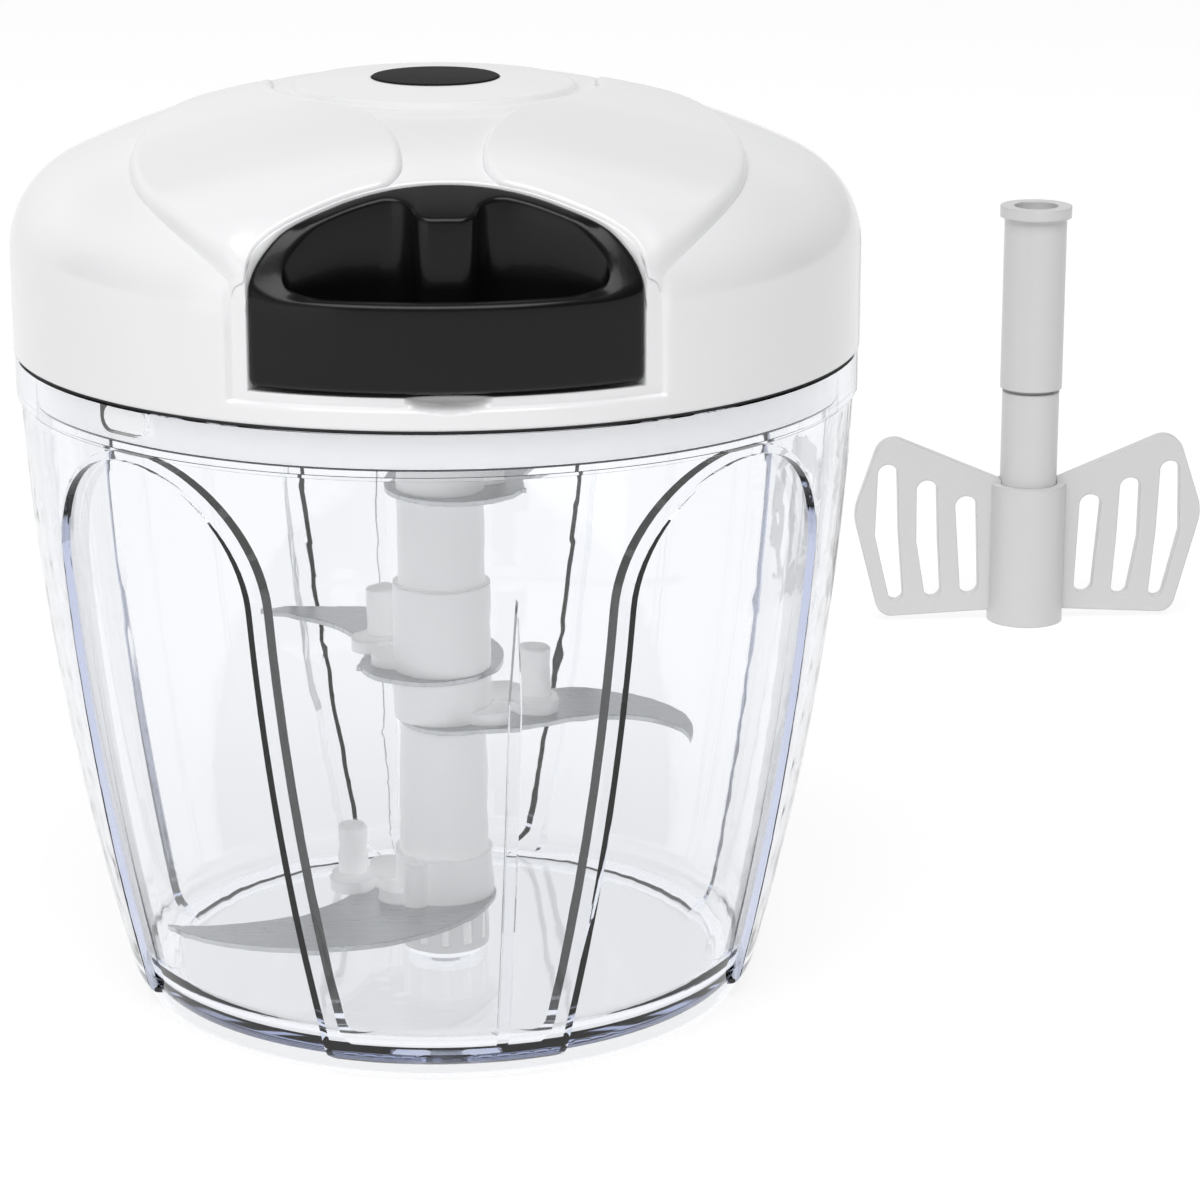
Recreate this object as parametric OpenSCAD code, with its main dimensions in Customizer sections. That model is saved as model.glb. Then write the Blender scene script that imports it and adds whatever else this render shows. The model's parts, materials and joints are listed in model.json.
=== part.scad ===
// Pull-string food chopper: clear fluted bowl, lid with a pull cord, blade column and mixing paddle.
// Millimetres, +Z up. The origin is the centre of the bowl's foot, and the handle is pulled along -Y.

/* [Bowl] */
// Height from the table to the rim
bowl_h = 103.3; // [100:0.1:108]
// Outer radius at the bottom of the wall
bowl_base_r = 50.2; // [49:0.1:52]
// Outer radius just under the rim band
bowl_top_r = 64.3; // [62:0.1:67]
// How far the wall bows out between base and rim
bowl_bulge = 2.5; // [1.5:0.1:3.5]
// Wall thickness
bowl_wall = 2.4; // [2:0.1:2.8]
// Floor thickness
bowl_floor = 2.4; // [2:0.1:3]
// Outer rounding where wall and base meet
bowl_corner = 3.2; // [2:0.1:5]
// Inner rounding where wall and floor meet
floor_corner = 6; // [4:0.5:9]
// Outer radius of the foot ring
foot_r = 47.4; // [45:0.1:48]
// Height of the foot ring
foot_h = 2.2; // [1.6:0.1:3]
// Width of the foot ring
foot_w = 3; // [2:0.1:4]
// How far the rim band stands out from the wall
rim_out = 0.6; // [0.4:0.1:0.8]
// Height of the rim band
rim_h = 6.1; // [5:0.1:7]
// Width of each arched side panel
panel_w = 40; // [34:0.5:42]
// How far the panel arches end below the rim
panel_drop = 8; // [7.5:0.1:14]
// Depth to which the panels step in
panel_depth = 1.5; // [1:0.1:1.8]
// Width of the two inner ribs
rib_w = 1.7; // [1.2:0.1:2.5]
// Depth by which the ribs stand into the bowl
rib_depth = 1.6; // [1:0.1:2.2]
// How far the ribs' pointed tops lie below the rim
rib_drop = 25.3; // [15:0.1:45]
// Turn of the ribs from the bowl's front
rib_angle = 9; // [6:1:14]
// Turn of the bowl's panels and notches under the lid
bowl_turn = -1.2; // [-3:0.1:3]

/* [Lid] */
// How far the lid's edge stands out past the rim band
lid_over = 0.2; // [0:0.1:0.8]
// Height of the lid from its lower edge to the dome's top
lid_h = 39; // [38:0.1:42]
// Seam between the lid's edge and the bowl's rim
lid_seam = 0.6; // [0.4:0.1:0.9]
// Wall thickness of the cover
lid_wall = 2.4; // [2:0.1:2.8]
// Radius of the rounded shoulder
shoulder_r = 18; // [15:0.5:20]
// Radius of the dome
dome_r = 165; // [150:1:190]
// Radius of the raised crown
crown_r = 22; // [20:0.1:23]
// Height of the crown over the dome
crown_h = 1; // [0.6:0.1:1.6]
// Radius of the round field that holds the two raised petals
petal_r = 45; // [43:0.1:46]
// How far the petal field lies in front of the axis
petal_y = 23; // [21:0.5:24]
// Height of the petals over the dome
petal_rise = 0.9; // [0.5:0.1:1.2]
// Half width of the neck between the petals
neck_half = 6; // [4:0.1:8]
// Thickness of the plate that closes the lid
plate_t = 2.4; // [2:0.1:3]
// Depth of the lid's skirt in the bowl
skirt_h = 5.7; // [4:0.1:6.5]
// Width of each key that stops the lid from turning
key_w = 8.8; // [7:0.1:10]
// Height of each key
key_h = 3.6; // [2.6:0.1:4.2]
// Radius of the crown's black cap
cap_r = 9.8; // [8:0.1:12]

/* [Handle] */
// Width of the handle
handle_w = 55.8; // [50:0.1:57]
// Depth of the handle from its front to its back
handle_depth = 17.1; // [16:0.1:18]
// Radius of the handle's arched back in plan
handle_arc_r = 36; // [32:1:40]
// Slope of the handle's flanks in plan
handle_flank = 25; // [22:1:28]
// Radius of the handle's back corners in plan
handle_round = 4; // [3:0.1:5]
// Height of the handle's underside over the lid's edge
handle_lift = 5.1; // [4.6:0.1:6]
// Height of the handle's front face
handle_front_h = 11.8; // [10:0.1:13]
// Thickness of the front wall of the finger cavity
grip_t = 1.8; // [1.6:0.1:2.6]
// Width of the rim at both sides of the finger cavity
grip_side = 3.9; // [3:0.1:5]
// Width of the rim behind the finger cavity
grip_rim = 2.6; // [2.4:0.1:3.4]
// Radius of the cavity's back corners
grip_round = 2.5; // [2:0.1:3]
// Radius of the corners of the cord boss in the finger cavity
boss_r = 3; // [2.6:0.1:3.4]
// Width of the flat front of the cord boss
boss_flat = 4.4; // [3.6:0.1:5]
// Depth of the cord boss from the handle's back
boss_out = 8.6; // [8:0.1:9]
// Radius of the hollow between the boss and the cavity's back
boss_fillet = 1.8; // [1.5:0.1:2.2]

/* [Pull cord] */
// Diameter of the cord
cord_d = 2; // [1.6:0.1:2.2]
// Radius of the cord's turns on the drum, at the middle of the cord
wind_r = 28; // [26:0.1:30]
// Turns on the drum
wind_turns = 2.5; // [2:0.25:3]
// Rise of the cord in each turn
wind_pitch = 2.6; // [2.5:0.1:2.8]
// Radius of the reel's flanges
reel_r = 35; // [33:0.5:38]
// Radius of the reel's axle
axle_r = 3; // [2.5:0.1:3.4]
// Thickness of the recoil spring's strip
spring_t = 0.5; // [0.3:0.05:0.7]
// Turns of the recoil spring
spring_turns = 6; // [4:1:8]

/* [Blade column] */
// How far the top of the blade column lies below the rim
column_drop = 10.4; // [9.8:0.1:12]
// Radius of the column's sleeves
sleeve_r = 6.9; // [6.4:0.1:7.2]
// Radius of the holders' collars
collar_r = 7.7; // [7.4:0.1:8]
// Corner radius of the six-sided spindle
spindle_r = 5; // [4.6:0.1:5.2]
// Radius of the pin that the column turns on
pin_r = 2.5; // [2:0.1:2.8]
// Height of the foot sleeve
foot_sleeve_h = 7.5; // [6.5:0.1:8.5]
// Thickness of the blades
blade_t = 0.8; // [0.6:0.1:1.2]
// Reach of the blades' tips from the axis
blade_reach = 45.4; // [42:0.1:46]
// Reach of the slim right blade's tip
slim_reach = 41.1; // [38:0.1:43]
// Thickness of the holders' lobed pads
pad_t = 2; // [1.6:0.1:2.6]
// Height of the pegs over the pads
peg_h = 8; // [6:0.1:9]
// Radius of the pegs
peg_r = 2.4; // [1.8:0.1:2.6]

/* [Mixing paddle] */
// Place of the paddle beside the bowl, to the right
mixer_x = 127; // [110:1:140]
// Place of the paddle beside the bowl, to the back
mixer_y = 195; // [150:1:220]
// Reach of each wing from the stem's axis
wing_reach = 36.3; // [32:0.1:38]
// Height of the wings' outer corners
wing_h = 39.5; // [38:0.5:44]
// Thickness of the wings
wing_t = 2.4; // [1.8:0.1:3]
// Radius of the paddle's hub
hub_r = 7.9; // [7.4:0.1:8.6]
// Height of the paddle's hub
hub_h = 29.5; // [28:0.5:32]

/* [Hidden] */
$fn = 96;
arc_fn = 720;

// Clearances
press_gap = 0.02;
cord_seat = 0.1;
run_gap = 0.05;
key_gap = 0.05;
seat_gap = 0.3;
skirt_gap = 0.4;
handle_gap = 0.5;
// Overlap of rounded corners with what they run into
ease = 0.005;

// Bowl levels
floor_top = foot_h + bowl_floor;
rim_z = bowl_h - rim_h;
rim_r = bowl_top_r + rim_out;
panel_top = bowl_h - panel_drop;
rib_top = bowl_h - rib_drop;
mouth_ease = 0.1;
mouth_r = bowl_top_r - bowl_wall + mouth_ease;
pin_boss_r = 6;
pin_z = 0.8;
pin_top = floor_top + 14;
panel_angles = [for (i = [0 : 3]) 45 + 90 * i + bowl_turn];
rib_angles = [rib_angle - 90, rib_angle + 90];
rib_point = 16;
key_angles = [bowl_turn - 135, bowl_turn + 45];
key_z = bowl_h - key_h / 2 - 0.1;
key_out = 1.6;

// Lid levels
lid_r = rim_r + lid_over;
lid_bottom = bowl_h + lid_seam;
lid_top = lid_bottom + lid_h;
plate_top = lid_bottom + plate_t;
dome_c = [0, lid_top - dome_r];
shoulder_reach = lid_r - shoulder_r;
shoulder_c = [
    shoulder_reach,
    dome_c.y + sqrt(pow(dome_r - shoulder_r, 2) - pow(shoulder_reach, 2))
];
skirt_r = mouth_r - skirt_gap;
skirt_t = 1.8;
crown_bevel = 2.4;
crown_top = lid_top + crown_h;
cap_t = 1.4;
cap_proud = 0.4;
petal_back = 3;
petal_corner = 9;
petal_margin = 0.5;
crown_margin = 3;
lobe_y = 42;
screw_angles = [45, 135, 225, 315];
screw_inset = 11.1;
screw_circle = lid_r - screw_inset;
screw_r = 1.2;
screw_head_r = 3.1;
screw_head_h = 1.5;
screw_l = 12;
screw_boss_r = 4.2;
base_rib_t = 1.6;
base_rib_h = 3;
bearing_boss_r = 11;
bearing_boss_h = 6;

// Handle levels
handle_back = lid_r - handle_depth;
handle_z0 = lid_bottom + handle_lift;
handle_corner = 2.5;
handle_front_z = handle_z0 + handle_front_h;
handle_arc_c = [0, -handle_back - handle_arc_r];
grip_edge = 2;
grip_floor = 2.5;
pocket_wall = 2;
frame_margin = 3;
frame_depth = 0.8;
frame_drop = 2.1;
scoop_r = 15;
scoop_depth = 2;
scoop_rise = 5.3;

// Drive levels, from the lid's plate upwards
bush_r = 8;
bush_flange_r = 10;
bush_flange_t = 1.2;
journal_r = 6;
reel_z0 = plate_top + bush_flange_t + seat_gap;
reel_hub_r = 9.5;
reel_hub_h = 2.2;
reel_flange_t = 1.5;
drum_z0 = reel_z0 + reel_hub_h + reel_flange_t;
drum_h = 10.5;
cord_sides = 8;
turn_steps = 24;
wind_sag = wind_r * (1 - cos(180 / turn_steps));
drum_r = wind_r - cord_d / 2 - wind_sag - cord_seat;
drum_wall = 2.4;
chamber_r = drum_r - drum_wall;
reel_top = drum_z0 + drum_h + reel_flange_t;
reel_cover_t = 1.2;
reel_cover_w = 2.2;
post_r = 6.2;
post_z0 = drum_z0 + 1;
post_slot_w = 1.4;
post_slot_d = 2.4;
spring_h = drum_h - 1.5;
spring_in = post_r + 1;
spring_out = chamber_r - 0.9;
spring_hook = 1.2;
spring_step = 15;
socket_r = 5.2;
spigot_collar_r = 7.5;
spigot_collar_h = 1.4;
hex_r = 3.6;
journal_z0 = bowl_h - bearing_boss_h - seat_gap;

// Cord route: tangent from the drum, a soft bend, then straight through eyelet and handle
cord_z = drum_z0 + 2.2;
bend_trim = 5;
eyelet_room = 5;
bend_y = handle_back - bend_trim - eyelet_room;
bend_steps = 4;
leave_turn = acos(wind_r / bend_y);
leave_angle = leave_turn - 90;
leave_point = [wind_r * cos(leave_angle), wind_r * sin(leave_angle), cord_z];
bend_point = [0, -bend_y, cord_z];
leave_dir = (bend_point - leave_point) / norm(bend_point - leave_point);
pull_dir = [0, -1, 0];
ferrule_r = 2;
ferrule_l = 3;
ferrule_sink = 0.6;
ferrule_y = -handle_back - boss_out + ferrule_sink + ferrule_l;
eyelet_r = 3;
eyelet_bore = 1.5;
eyelet_flange = 0.9;

// Blade column levels, from the bowl's floor upwards
column_z0 = floor_top + seat_gap;
column_top = bowl_h - column_drop;
column_h = column_top - column_z0;
bottom_collar_h = 7.5;
right_collar_h = 7;
left_collar_h = 14;
top_collar_h = 4.7;
coupling_h = 8.4;
spacer_share = 0.6;
collars_h = bottom_collar_h + right_collar_h + left_collar_h + top_collar_h;
spacers_h = column_h - foot_sleeve_h - 4 * blade_t - collars_h - coupling_h;
lower_spacer_h = spacer_share * spacers_h;
upper_spacer_h = spacers_h - lower_spacer_h;
bottom_blade_z = column_z0 + foot_sleeve_h;
bottom_holder_z = bottom_blade_z + blade_t;
lower_spacer_z = bottom_holder_z + bottom_collar_h;
right_blade_z = lower_spacer_z + lower_spacer_h;
right_holder_z = right_blade_z + blade_t;
left_blade_z = right_holder_z + right_collar_h;
left_holder_z = left_blade_z + blade_t;
upper_spacer_z = left_holder_z + left_collar_h;
top_blade_z = upper_spacer_z + upper_spacer_h;
top_holder_z = top_blade_z + blade_t;
coupling_z = top_holder_z + top_collar_h;
coupling_flange_r = sleeve_r + 1.3;
coupling_flange_t = 1.8;
spindle_grip = 2.5;
spindle_top = coupling_z + spindle_grip;
spigot_z0 = spindle_top + seat_gap + 0.6;
foot_slots = 12;
foot_slot_w = 1.2;
foot_slot_d = 0.6;
foot_band = 1.2;

// Blade outline in its own plane: the tip lies along +X, the belly towards +Y
blade_root_c = [3, 0];
blade_root_r = 11;
belly_r = 29;
hollow_r = 26;
tip_rise = 0.65;
tip = [blade_reach, tip_rise];
belly_c = tip - belly_r * [cos(20.7), sin(20.7)];
hollow_c = tip - hollow_r * [cos(60.4), sin(60.4)];
slim_root_c = [2.4, 0];
slim_root_r = 8.8;
slim_belly_r = 21.5;
slim_hollow_r = 12.5;
slim_slope = 38.5;
slim_tip = [slim_reach, -0.3];
slim_belly_c = slim_tip - slim_belly_r * [cos(3.2), sin(3.2)];
slim_hollow_c = slim_tip - slim_hollow_r * [cos(17.5), sin(17.5)];

// Pad of each holder in its own frame: lobes with their radii, rivets and pegs
rivet_r = 1.1;
pad_front = [7.9, -1.1, 3.4];
pad_tongue = [13.6, 6.3, 3.6];
pad_web = [7, 7, 3.9];
pad_back = [6.3, 11, 2.9];
peg_place = [12.8, 8.5];
peg_lobe = [peg_place.x, peg_place.y, peg_r + 1];
pad_lobes = [pad_front, pad_tongue, pad_web, pad_back, peg_lobe];
pad_rivets = [[pad_front.x, pad_front.y], [8.5, 6]];
peg_bevel = 0.4;
low_peg_r = 1.75;
low_peg_place = [6.4, -5.1];
bottom_angle = 196.2;
right_angle = -22;
left_angle = 133.2;
left_pad_angle = 161.4;
top_angle = 38.8;

// Mixing paddle
mixer_tube_r = 6.4;
mixer_stem_r = 5.9;
mixer_tube_l = 38;
mixer_tube_z = column_h - mixer_tube_l;
mixer_groove = 0.8;
mixer_spigot_r = 4.8;
mixer_spigot_h = 9;
mixer_flange_r = 7.35;
mixer_flange_t = 2.2;
mixer_mouth_r = 4.5;
mixer_mouth_h = 2.5;
mixer_socket_h = 8;
mixer_seat = 4;
wing_root = 4;
wing_low = 2.5;
wing_root_r = 1.5;
wing_foot_r = 3.3;
wing_tip_r = 4.2;
wing_bow_r = 10;
wing_bow_z = 23;
wing_foot_in = 7.9;
wing_tip_in = 8;

// Slots of each wing: where the first one starts and ends, and how the next ones differ
slot_count = 3;
slot_foot = [12.1, 7.7];
slot_top = [13.1, 24.7];
slot_foot_step = [7.75, -0.75];
slot_top_step = [8.3, 3.6];
slot_foot_r = 2;
slot_top_r = 2.3;
slot_taper = 0.2;
slot_bow = 0.5;
slot_swell = 0.35;

function unit(v) = v / norm(v);

// Centre and radius of the arc from p to q that bows out by a given height
function arc_by_bulge(p, q, bulge) =
    let (
        chord = q - p,
        length = norm(chord),
        radius = (length * length / 4 + bulge * bulge) / (2 * bulge),
        outward = [chord.y, -chord.x] / length
    )
    [(p + q) / 2 - outward * (radius - bulge), radius];

wall_arc = arc_by_bulge([bowl_base_r, foot_h + bowl_corner], [bowl_top_r, rim_z], bowl_bulge);

// Half section of the bowl's form: bowed wall, rounded corner, flat base
module wall_outline(inset, low, corner, high) {
    centre = wall_arc[0];
    radius = wall_arc[1] - inset;
    corner_x = sqrt(pow(radius - corner, 2) - pow(low + corner - centre.y, 2));
    corner_c = [centre.x + corner_x, low + corner];
    touch = centre + radius * unit(corner_c - centre);
    intersection() {
        translate(centre) circle(radius, $fn = arc_fn);
        translate([0, touch.y]) square([2 * bowl_top_r, high - touch.y]);
    }
    intersection() {
        translate(corner_c) circle(corner + ease);
        translate([0, low]) square(2 * bowl_top_r);
    }
    translate([0, low]) square([corner_c.x, touch.y - low]);
}

// Arch of a side panel, upright, with its sides running down past the base
module panel_arch(grow) {
    arch_r = panel_w / 2 + grow;
    arch_z = panel_top - panel_w / 2;
    translate([0, arch_z]) circle(arch_r);
    translate([-arch_r, -1]) square([2 * arch_r, arch_z + 1]);
}

// Solid form of the bowl: a revolve that steps in at the arched panels
module bowl_form(inset, low, corner, grow) {
    difference() {
        rotate_extrude() wall_outline(inset, low, corner, rim_z);
        for (turn = panel_angles)
            rotate([90, 0, turn + 90]) linear_extrude(2 * bowl_top_r) panel_arch(grow);
    }
    rotate_extrude() wall_outline(inset + panel_depth, low, corner, rim_z);
}

// Key outline on the skirt, in the plane square to its radius
module key_outline(grow) {
    half = (key_w - key_h) / 2;
    for (side = [-1, 1]) translate([side * half, key_z]) circle(key_h / 2 + grow);
    translate([-half, key_z - key_h / 2 - grow]) square([2 * half, key_h + 2 * grow]);
}

module key_prism(from, to) {
    rotate([90, 0, 90]) translate([0, 0, from]) linear_extrude(to - from) children();
}

// Open-topped notch in the rim for one key
module key_notch() {
    key_prism(mouth_r - 1, skirt_r + key_out + skirt_gap) {
        key_outline(skirt_gap);
        translate([-key_w / 2 - skirt_gap, key_z]) square([key_w + 2 * skirt_gap, bowl_h]);
    }
}

// Thin rib on the inside of the wall, pointed at its top
module bowl_rib() {
    intersection() {
        rotate([90, 0, 90]) linear_extrude(bowl_top_r)
            polygon([
                [-rib_w / 2, floor_top - 1], [rib_w / 2, floor_top - 1],
                [rib_w / 2, rib_top - rib_point], [0, rib_top], [-rib_w / 2, rib_top - rib_point]
            ]);
        difference() {
            rotate_extrude() wall_outline(bowl_wall / 2, foot_h, floor_corner, rim_z);
            rotate_extrude() wall_outline(bowl_wall + rib_depth, floor_top, floor_corner, rim_z);
        }
    }
}

module bowl() {
    color("lightcyan", 0.4) difference() {
        union() {
            difference() {
                union() {
                    bowl_form(0, foot_h, bowl_corner, 0);
                    translate([0, 0, rim_z]) cylinder(h = rim_h, r = rim_r);
                    difference() {
                        cylinder(h = foot_h + 1, r = foot_r);
                        translate([0, 0, -1]) cylinder(h = foot_h + 1, r = foot_r - foot_w);
                    }
                    cylinder(h = foot_h + 1, r = pin_boss_r);
                }
                bowl_form(bowl_wall, floor_top, floor_corner, bowl_wall / 2);
                translate([0, 0, rim_z - 1]) cylinder(h = rim_h + 2, r = mouth_r);
                for (turn = key_angles) rotate(turn) key_notch();
            }
            for (turn = rib_angles) rotate(turn) bowl_rib();
        }
        translate([0, 0, pin_z]) cylinder(h = pin_top, r = pin_r + press_gap);
    }
}

module pivot_pin() {
    color("silver") {
        translate([0, 0, pin_z]) cylinder(h = pin_top - pin_r - pin_z, r = pin_r);
        translate([0, 0, pin_top - pin_r]) sphere(pin_r);
    }
}

// Half section of the lid's form: straight wall, rounded shoulder, dome
module lid_outline(inset, low) {
    touch = dome_c + (dome_r - inset) * unit(shoulder_c - dome_c);
    intersection() {
        translate(dome_c) circle(dome_r - inset, $fn = arc_fn);
        translate([0, touch.y]) square([touch.x, dome_r]);
    }
    intersection() {
        translate(shoulder_c) circle(shoulder_r - inset + ease);
        translate(shoulder_c) square([shoulder_r - inset, 2 * shoulder_r]);
    }
    translate([0, low]) square([touch.x, touch.y - low]);
    translate([0, low]) square([lid_r - inset, shoulder_c.y - low]);
}

module lid_form(inset, low) {
    rotate_extrude() lid_outline(inset, low);
}

// Ground in front of the handle's back: an arch that runs into straight flanks and round corners
module bay_back(half, radius, corner) {
    across = [sin(handle_flank), cos(handle_flank)];
    corner_x = half - corner;
    corner_y = (across * handle_arc_c + radius - corner - across.x * corner_x) / across.y;
    touch = handle_arc_c + radius * across;
    turn = [corner_x, corner_y] + corner * across;
    intersection() {
        translate(handle_arc_c) circle(radius + ease, $fn = arc_fn);
        translate([-touch.x, -2 * lid_r]) square([2 * touch.x, 2 * lid_r]);
    }
    intersection() {
        for (side = [-1, 1]) translate([side * corner_x, corner_y]) circle(corner + ease);
        translate([-half, -2 * lid_r]) square([2 * half, 2 * lid_r]);
    }
    polygon([
        touch, turn, [half, corner_y], [half, -2 * lid_r],
        [-half, -2 * lid_r], [-half, corner_y], [-turn.x, turn.y], [-touch.x, touch.y]
    ]);
}

// Ground behind the handle's front arc, with two rounded front corners
module bay_front(half, radius, corner) {
    corner_x = half - corner;
    corner_c = [corner_x, -sqrt(pow(radius - corner, 2) - pow(corner_x, 2))];
    touch = radius * unit(corner_c);
    intersection() {
        circle(radius, $fn = arc_fn);
        translate([-touch.x, -2 * lid_r]) square([2 * touch.x, 2 * lid_r]);
    }
    intersection() {
        for (side = [-1, 1]) translate([side * corner_c.x, corner_c.y]) circle(corner + ease);
        translate([-half, -2 * lid_r]) square([2 * half, 2 * lid_r]);
    }
    translate([-half, corner_c.y]) square([2 * half, -corner_c.y]);
}

// Plan of the handle, open to the front
module handle_plan(grow) {
    intersection() {
        circle(lid_r + 2 + grow);
        bay_back(handle_w / 2 + grow, handle_arc_r + grow, handle_round + grow);
    }
}

// Plan of the round field that both petals lie in, rounded at its two back corners
module petal_field() {
    centre = [0, -petal_y];
    corner_y = petal_back - petal_corner;
    corner_x = sqrt(pow(petal_r - petal_corner, 2) - pow(corner_y + petal_y, 2));
    touch = centre + petal_r * unit([corner_x, corner_y] - centre);
    intersection() {
        translate(centre) circle(petal_r);
        translate([-petal_r, touch.y - 2 * petal_r]) square(2 * petal_r);
    }
    for (side = [-1, 1]) translate([side * corner_x, corner_y]) circle(petal_corner);
    translate([-corner_x, touch.y - 1]) square([2 * corner_x, petal_back - touch.y + 1]);
}

// Plan of the low ground between the petals: round the crown, drawn in to the neck
module neck_field() {
    round_r = crown_r + crown_margin;
    lobe_r = (pow(neck_half, 2) + pow(lobe_y, 2) - pow(round_r, 2)) / (2 * (round_r - neck_half));
    lobe_c = [lobe_r + neck_half, -lobe_y];
    meet = round_r * unit(lobe_c);
    circle(round_r);
    difference() {
        translate([-meet.x, -lid_r]) square([2 * meet.x, lid_r + meet.y]);
        for (side = [-1, 1]) translate([side * lobe_c.x, lobe_c.y]) circle(lobe_r);
    }
}

module petals() {
    difference() {
        intersection() {
            translate([0, 0, lid_bottom]) linear_extrude(lid_h + petal_rise) difference() {
                intersection() {
                    petal_field();
                    circle(lid_r - petal_margin);
                }
                neck_field();
            }
            lid_form(-petal_rise, lid_bottom);
        }
        lid_form(lid_wall / 2, lid_bottom - 1);
    }
}

// Shallow recess of the lid's wall round the handle's front
module handle_frame() {
    frame_w = handle_w + 2 * frame_margin;
    difference() {
        translate([-frame_w / 2, -lid_r - 1, handle_z0 - frame_drop])
            cube([frame_w, lid_r, lid_h]);
        translate([0, 0, lid_bottom - 1]) cylinder(h = lid_h + 10, r = lid_r - frame_depth);
    }
}

module lid_cover() {
    color("white") difference() {
        union() {
            difference() {
                lid_form(0, lid_bottom);
                lid_form(lid_wall, lid_bottom - 1);
            }
            intersection() {
                lid_form(0, lid_bottom);
                translate([0, 0, handle_z0 - handle_gap - pocket_wall])
                    linear_extrude(lid_h) handle_plan(handle_gap + pocket_wall);
            }
            intersection() {
                lid_form(lid_wall / 2, lid_bottom);
                for (turn = screw_angles) rotate(turn) translate([screw_circle, 0, plate_top])
                    cylinder(h = lid_h, r = screw_boss_r);
            }
            translate([0, 0, post_z0]) cylinder(h = lid_top - post_z0 - 1, r = post_r);
            translate([0, 0, lid_top - crown_bevel])
                cylinder(h = crown_bevel + crown_h, r1 = crown_r + crown_bevel, r2 = crown_r);
            petals();
        }
        translate([0, 0, handle_z0 - handle_gap]) linear_extrude(lid_h) handle_plan(handle_gap);
        handle_frame();
        translate([0, scoop_depth - lid_r - scoop_r, handle_z0 + scoop_rise]) sphere(scoop_r);
        translate([0, 0, crown_top - cap_t]) cylinder(h = cap_t + 1, r = cap_r + run_gap);
        translate([0, 0, post_z0 - 1]) cylinder(h = lid_h, r = axle_r + press_gap);
        translate([post_r - post_slot_d, -post_slot_w / 2, post_z0 - 1])
            cube([post_slot_d + 1, post_slot_w, spring_h + 2]);
        for (turn = screw_angles) rotate(turn) translate([screw_circle, 0, plate_top - 1])
            cylinder(h = screw_l + 1, r = screw_r + run_gap);
        translate([0, -handle_back + handle_gap - 1, cord_z]) rotate([-90, 0, 0])
            cylinder(h = pocket_wall + 2, r = eyelet_r + press_gap);
    }
}

module lid_base() {
    plug_r = lid_r - lid_wall - run_gap;
    color("whitesmoke") difference() {
        union() {
            translate([0, 0, bowl_h]) cylinder(h = lid_seam, r = rim_r - lid_seam);
            translate([0, 0, bowl_h]) cylinder(h = lid_seam + plate_t, r = plug_r);
            difference() {
                translate([0, 0, bowl_h - skirt_h]) cylinder(h = skirt_h, r = skirt_r);
                translate([0, 0, bowl_h - skirt_h - 1]) cylinder(h = skirt_h + 1, r = skirt_r - skirt_t);
            }
            translate([0, 0, bowl_h - bearing_boss_h]) cylinder(h = bearing_boss_h, r = bearing_boss_r);
            for (turn = [22.5 : 45 : 337.5]) rotate(turn)
                translate([bearing_boss_r - 1, -base_rib_t / 2, bowl_h - base_rib_h])
                    cube([skirt_r - skirt_t / 2 - bearing_boss_r + 1, base_rib_t, base_rib_h]);
            for (turn = key_angles) rotate(turn)
                key_prism(skirt_r - skirt_t / 2, skirt_r + key_out) key_outline(0);
        }
        translate([0, 0, bowl_h - bearing_boss_h - 1])
            cylinder(h = lid_h, r = bush_r + press_gap);
        for (turn = screw_angles) rotate(turn) translate([screw_circle, 0, bowl_h]) {
            translate([0, 0, -1]) cylinder(h = lid_h, r = screw_r + seat_gap);
            translate([0, 0, -1]) cylinder(h = screw_head_h + 1, r = screw_head_r + seat_gap);
        }
    }
}

module crown_cap() {
    color("dimgray") translate([0, 0, crown_top - cap_t]) rotate_extrude()
        polygon([
            [0, 0], [cap_r, 0], [cap_r, cap_t], [cap_r - cap_proud, cap_t + cap_proud / 2],
            [0, cap_t + cap_proud]
        ]);
}

module drive_bush() {
    color("goldenrod") difference() {
        union() {
            translate([0, 0, bowl_h - bearing_boss_h])
                cylinder(h = plate_top - bowl_h + bearing_boss_h, r = bush_r);
            translate([0, 0, plate_top]) cylinder(h = bush_flange_t, r = bush_flange_r);
        }
        translate([0, 0, journal_z0 - 1]) cylinder(h = lid_h, r = journal_r + run_gap);
    }
}

module reel_axle() {
    axle_z0 = bowl_h;
    color("silver") translate([0, 0, axle_z0])
        cylinder(h = crown_top - cap_t - axle_z0, r = axle_r);
}

module housing_screws() {
    color("gray") for (turn = screw_angles) rotate(turn) translate([screw_circle, 0, bowl_h]) {
        difference() {
            cylinder(h = screw_head_h, r = screw_head_r);
            for (slot = [0, 90]) rotate(slot)
                translate([-screw_head_r / 2, -0.4, -1]) cube([screw_head_r, 0.8, 1.8]);
        }
        cylinder(h = screw_l, r = screw_r);
    }
}

module cord_eyelet() {
    color("silver") translate([0, -handle_back + handle_gap, cord_z]) rotate([-90, 0, 0])
        difference() {
            union() {
                cylinder(h = pocket_wall, r = eyelet_r);
                translate([0, 0, pocket_wall]) cylinder(h = eyelet_flange, r = eyelet_r + eyelet_flange);
            }
            translate([0, 0, -1]) cylinder(h = pocket_wall + eyelet_flange + 2, r = eyelet_bore);
        }
}

// Right one of the two points where two circles meet
function circles_meet(c1, r1, c2, r2) =
    let (
        apart = norm(c2 - c1),
        way = (c2 - c1) / apart,
        along = (r1 * r1 - r2 * r2 + apart * apart) / (2 * apart)
    )
    c1 + along * way + sqrt(r1 * r1 - along * along) * [way.y, -way.x];

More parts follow.
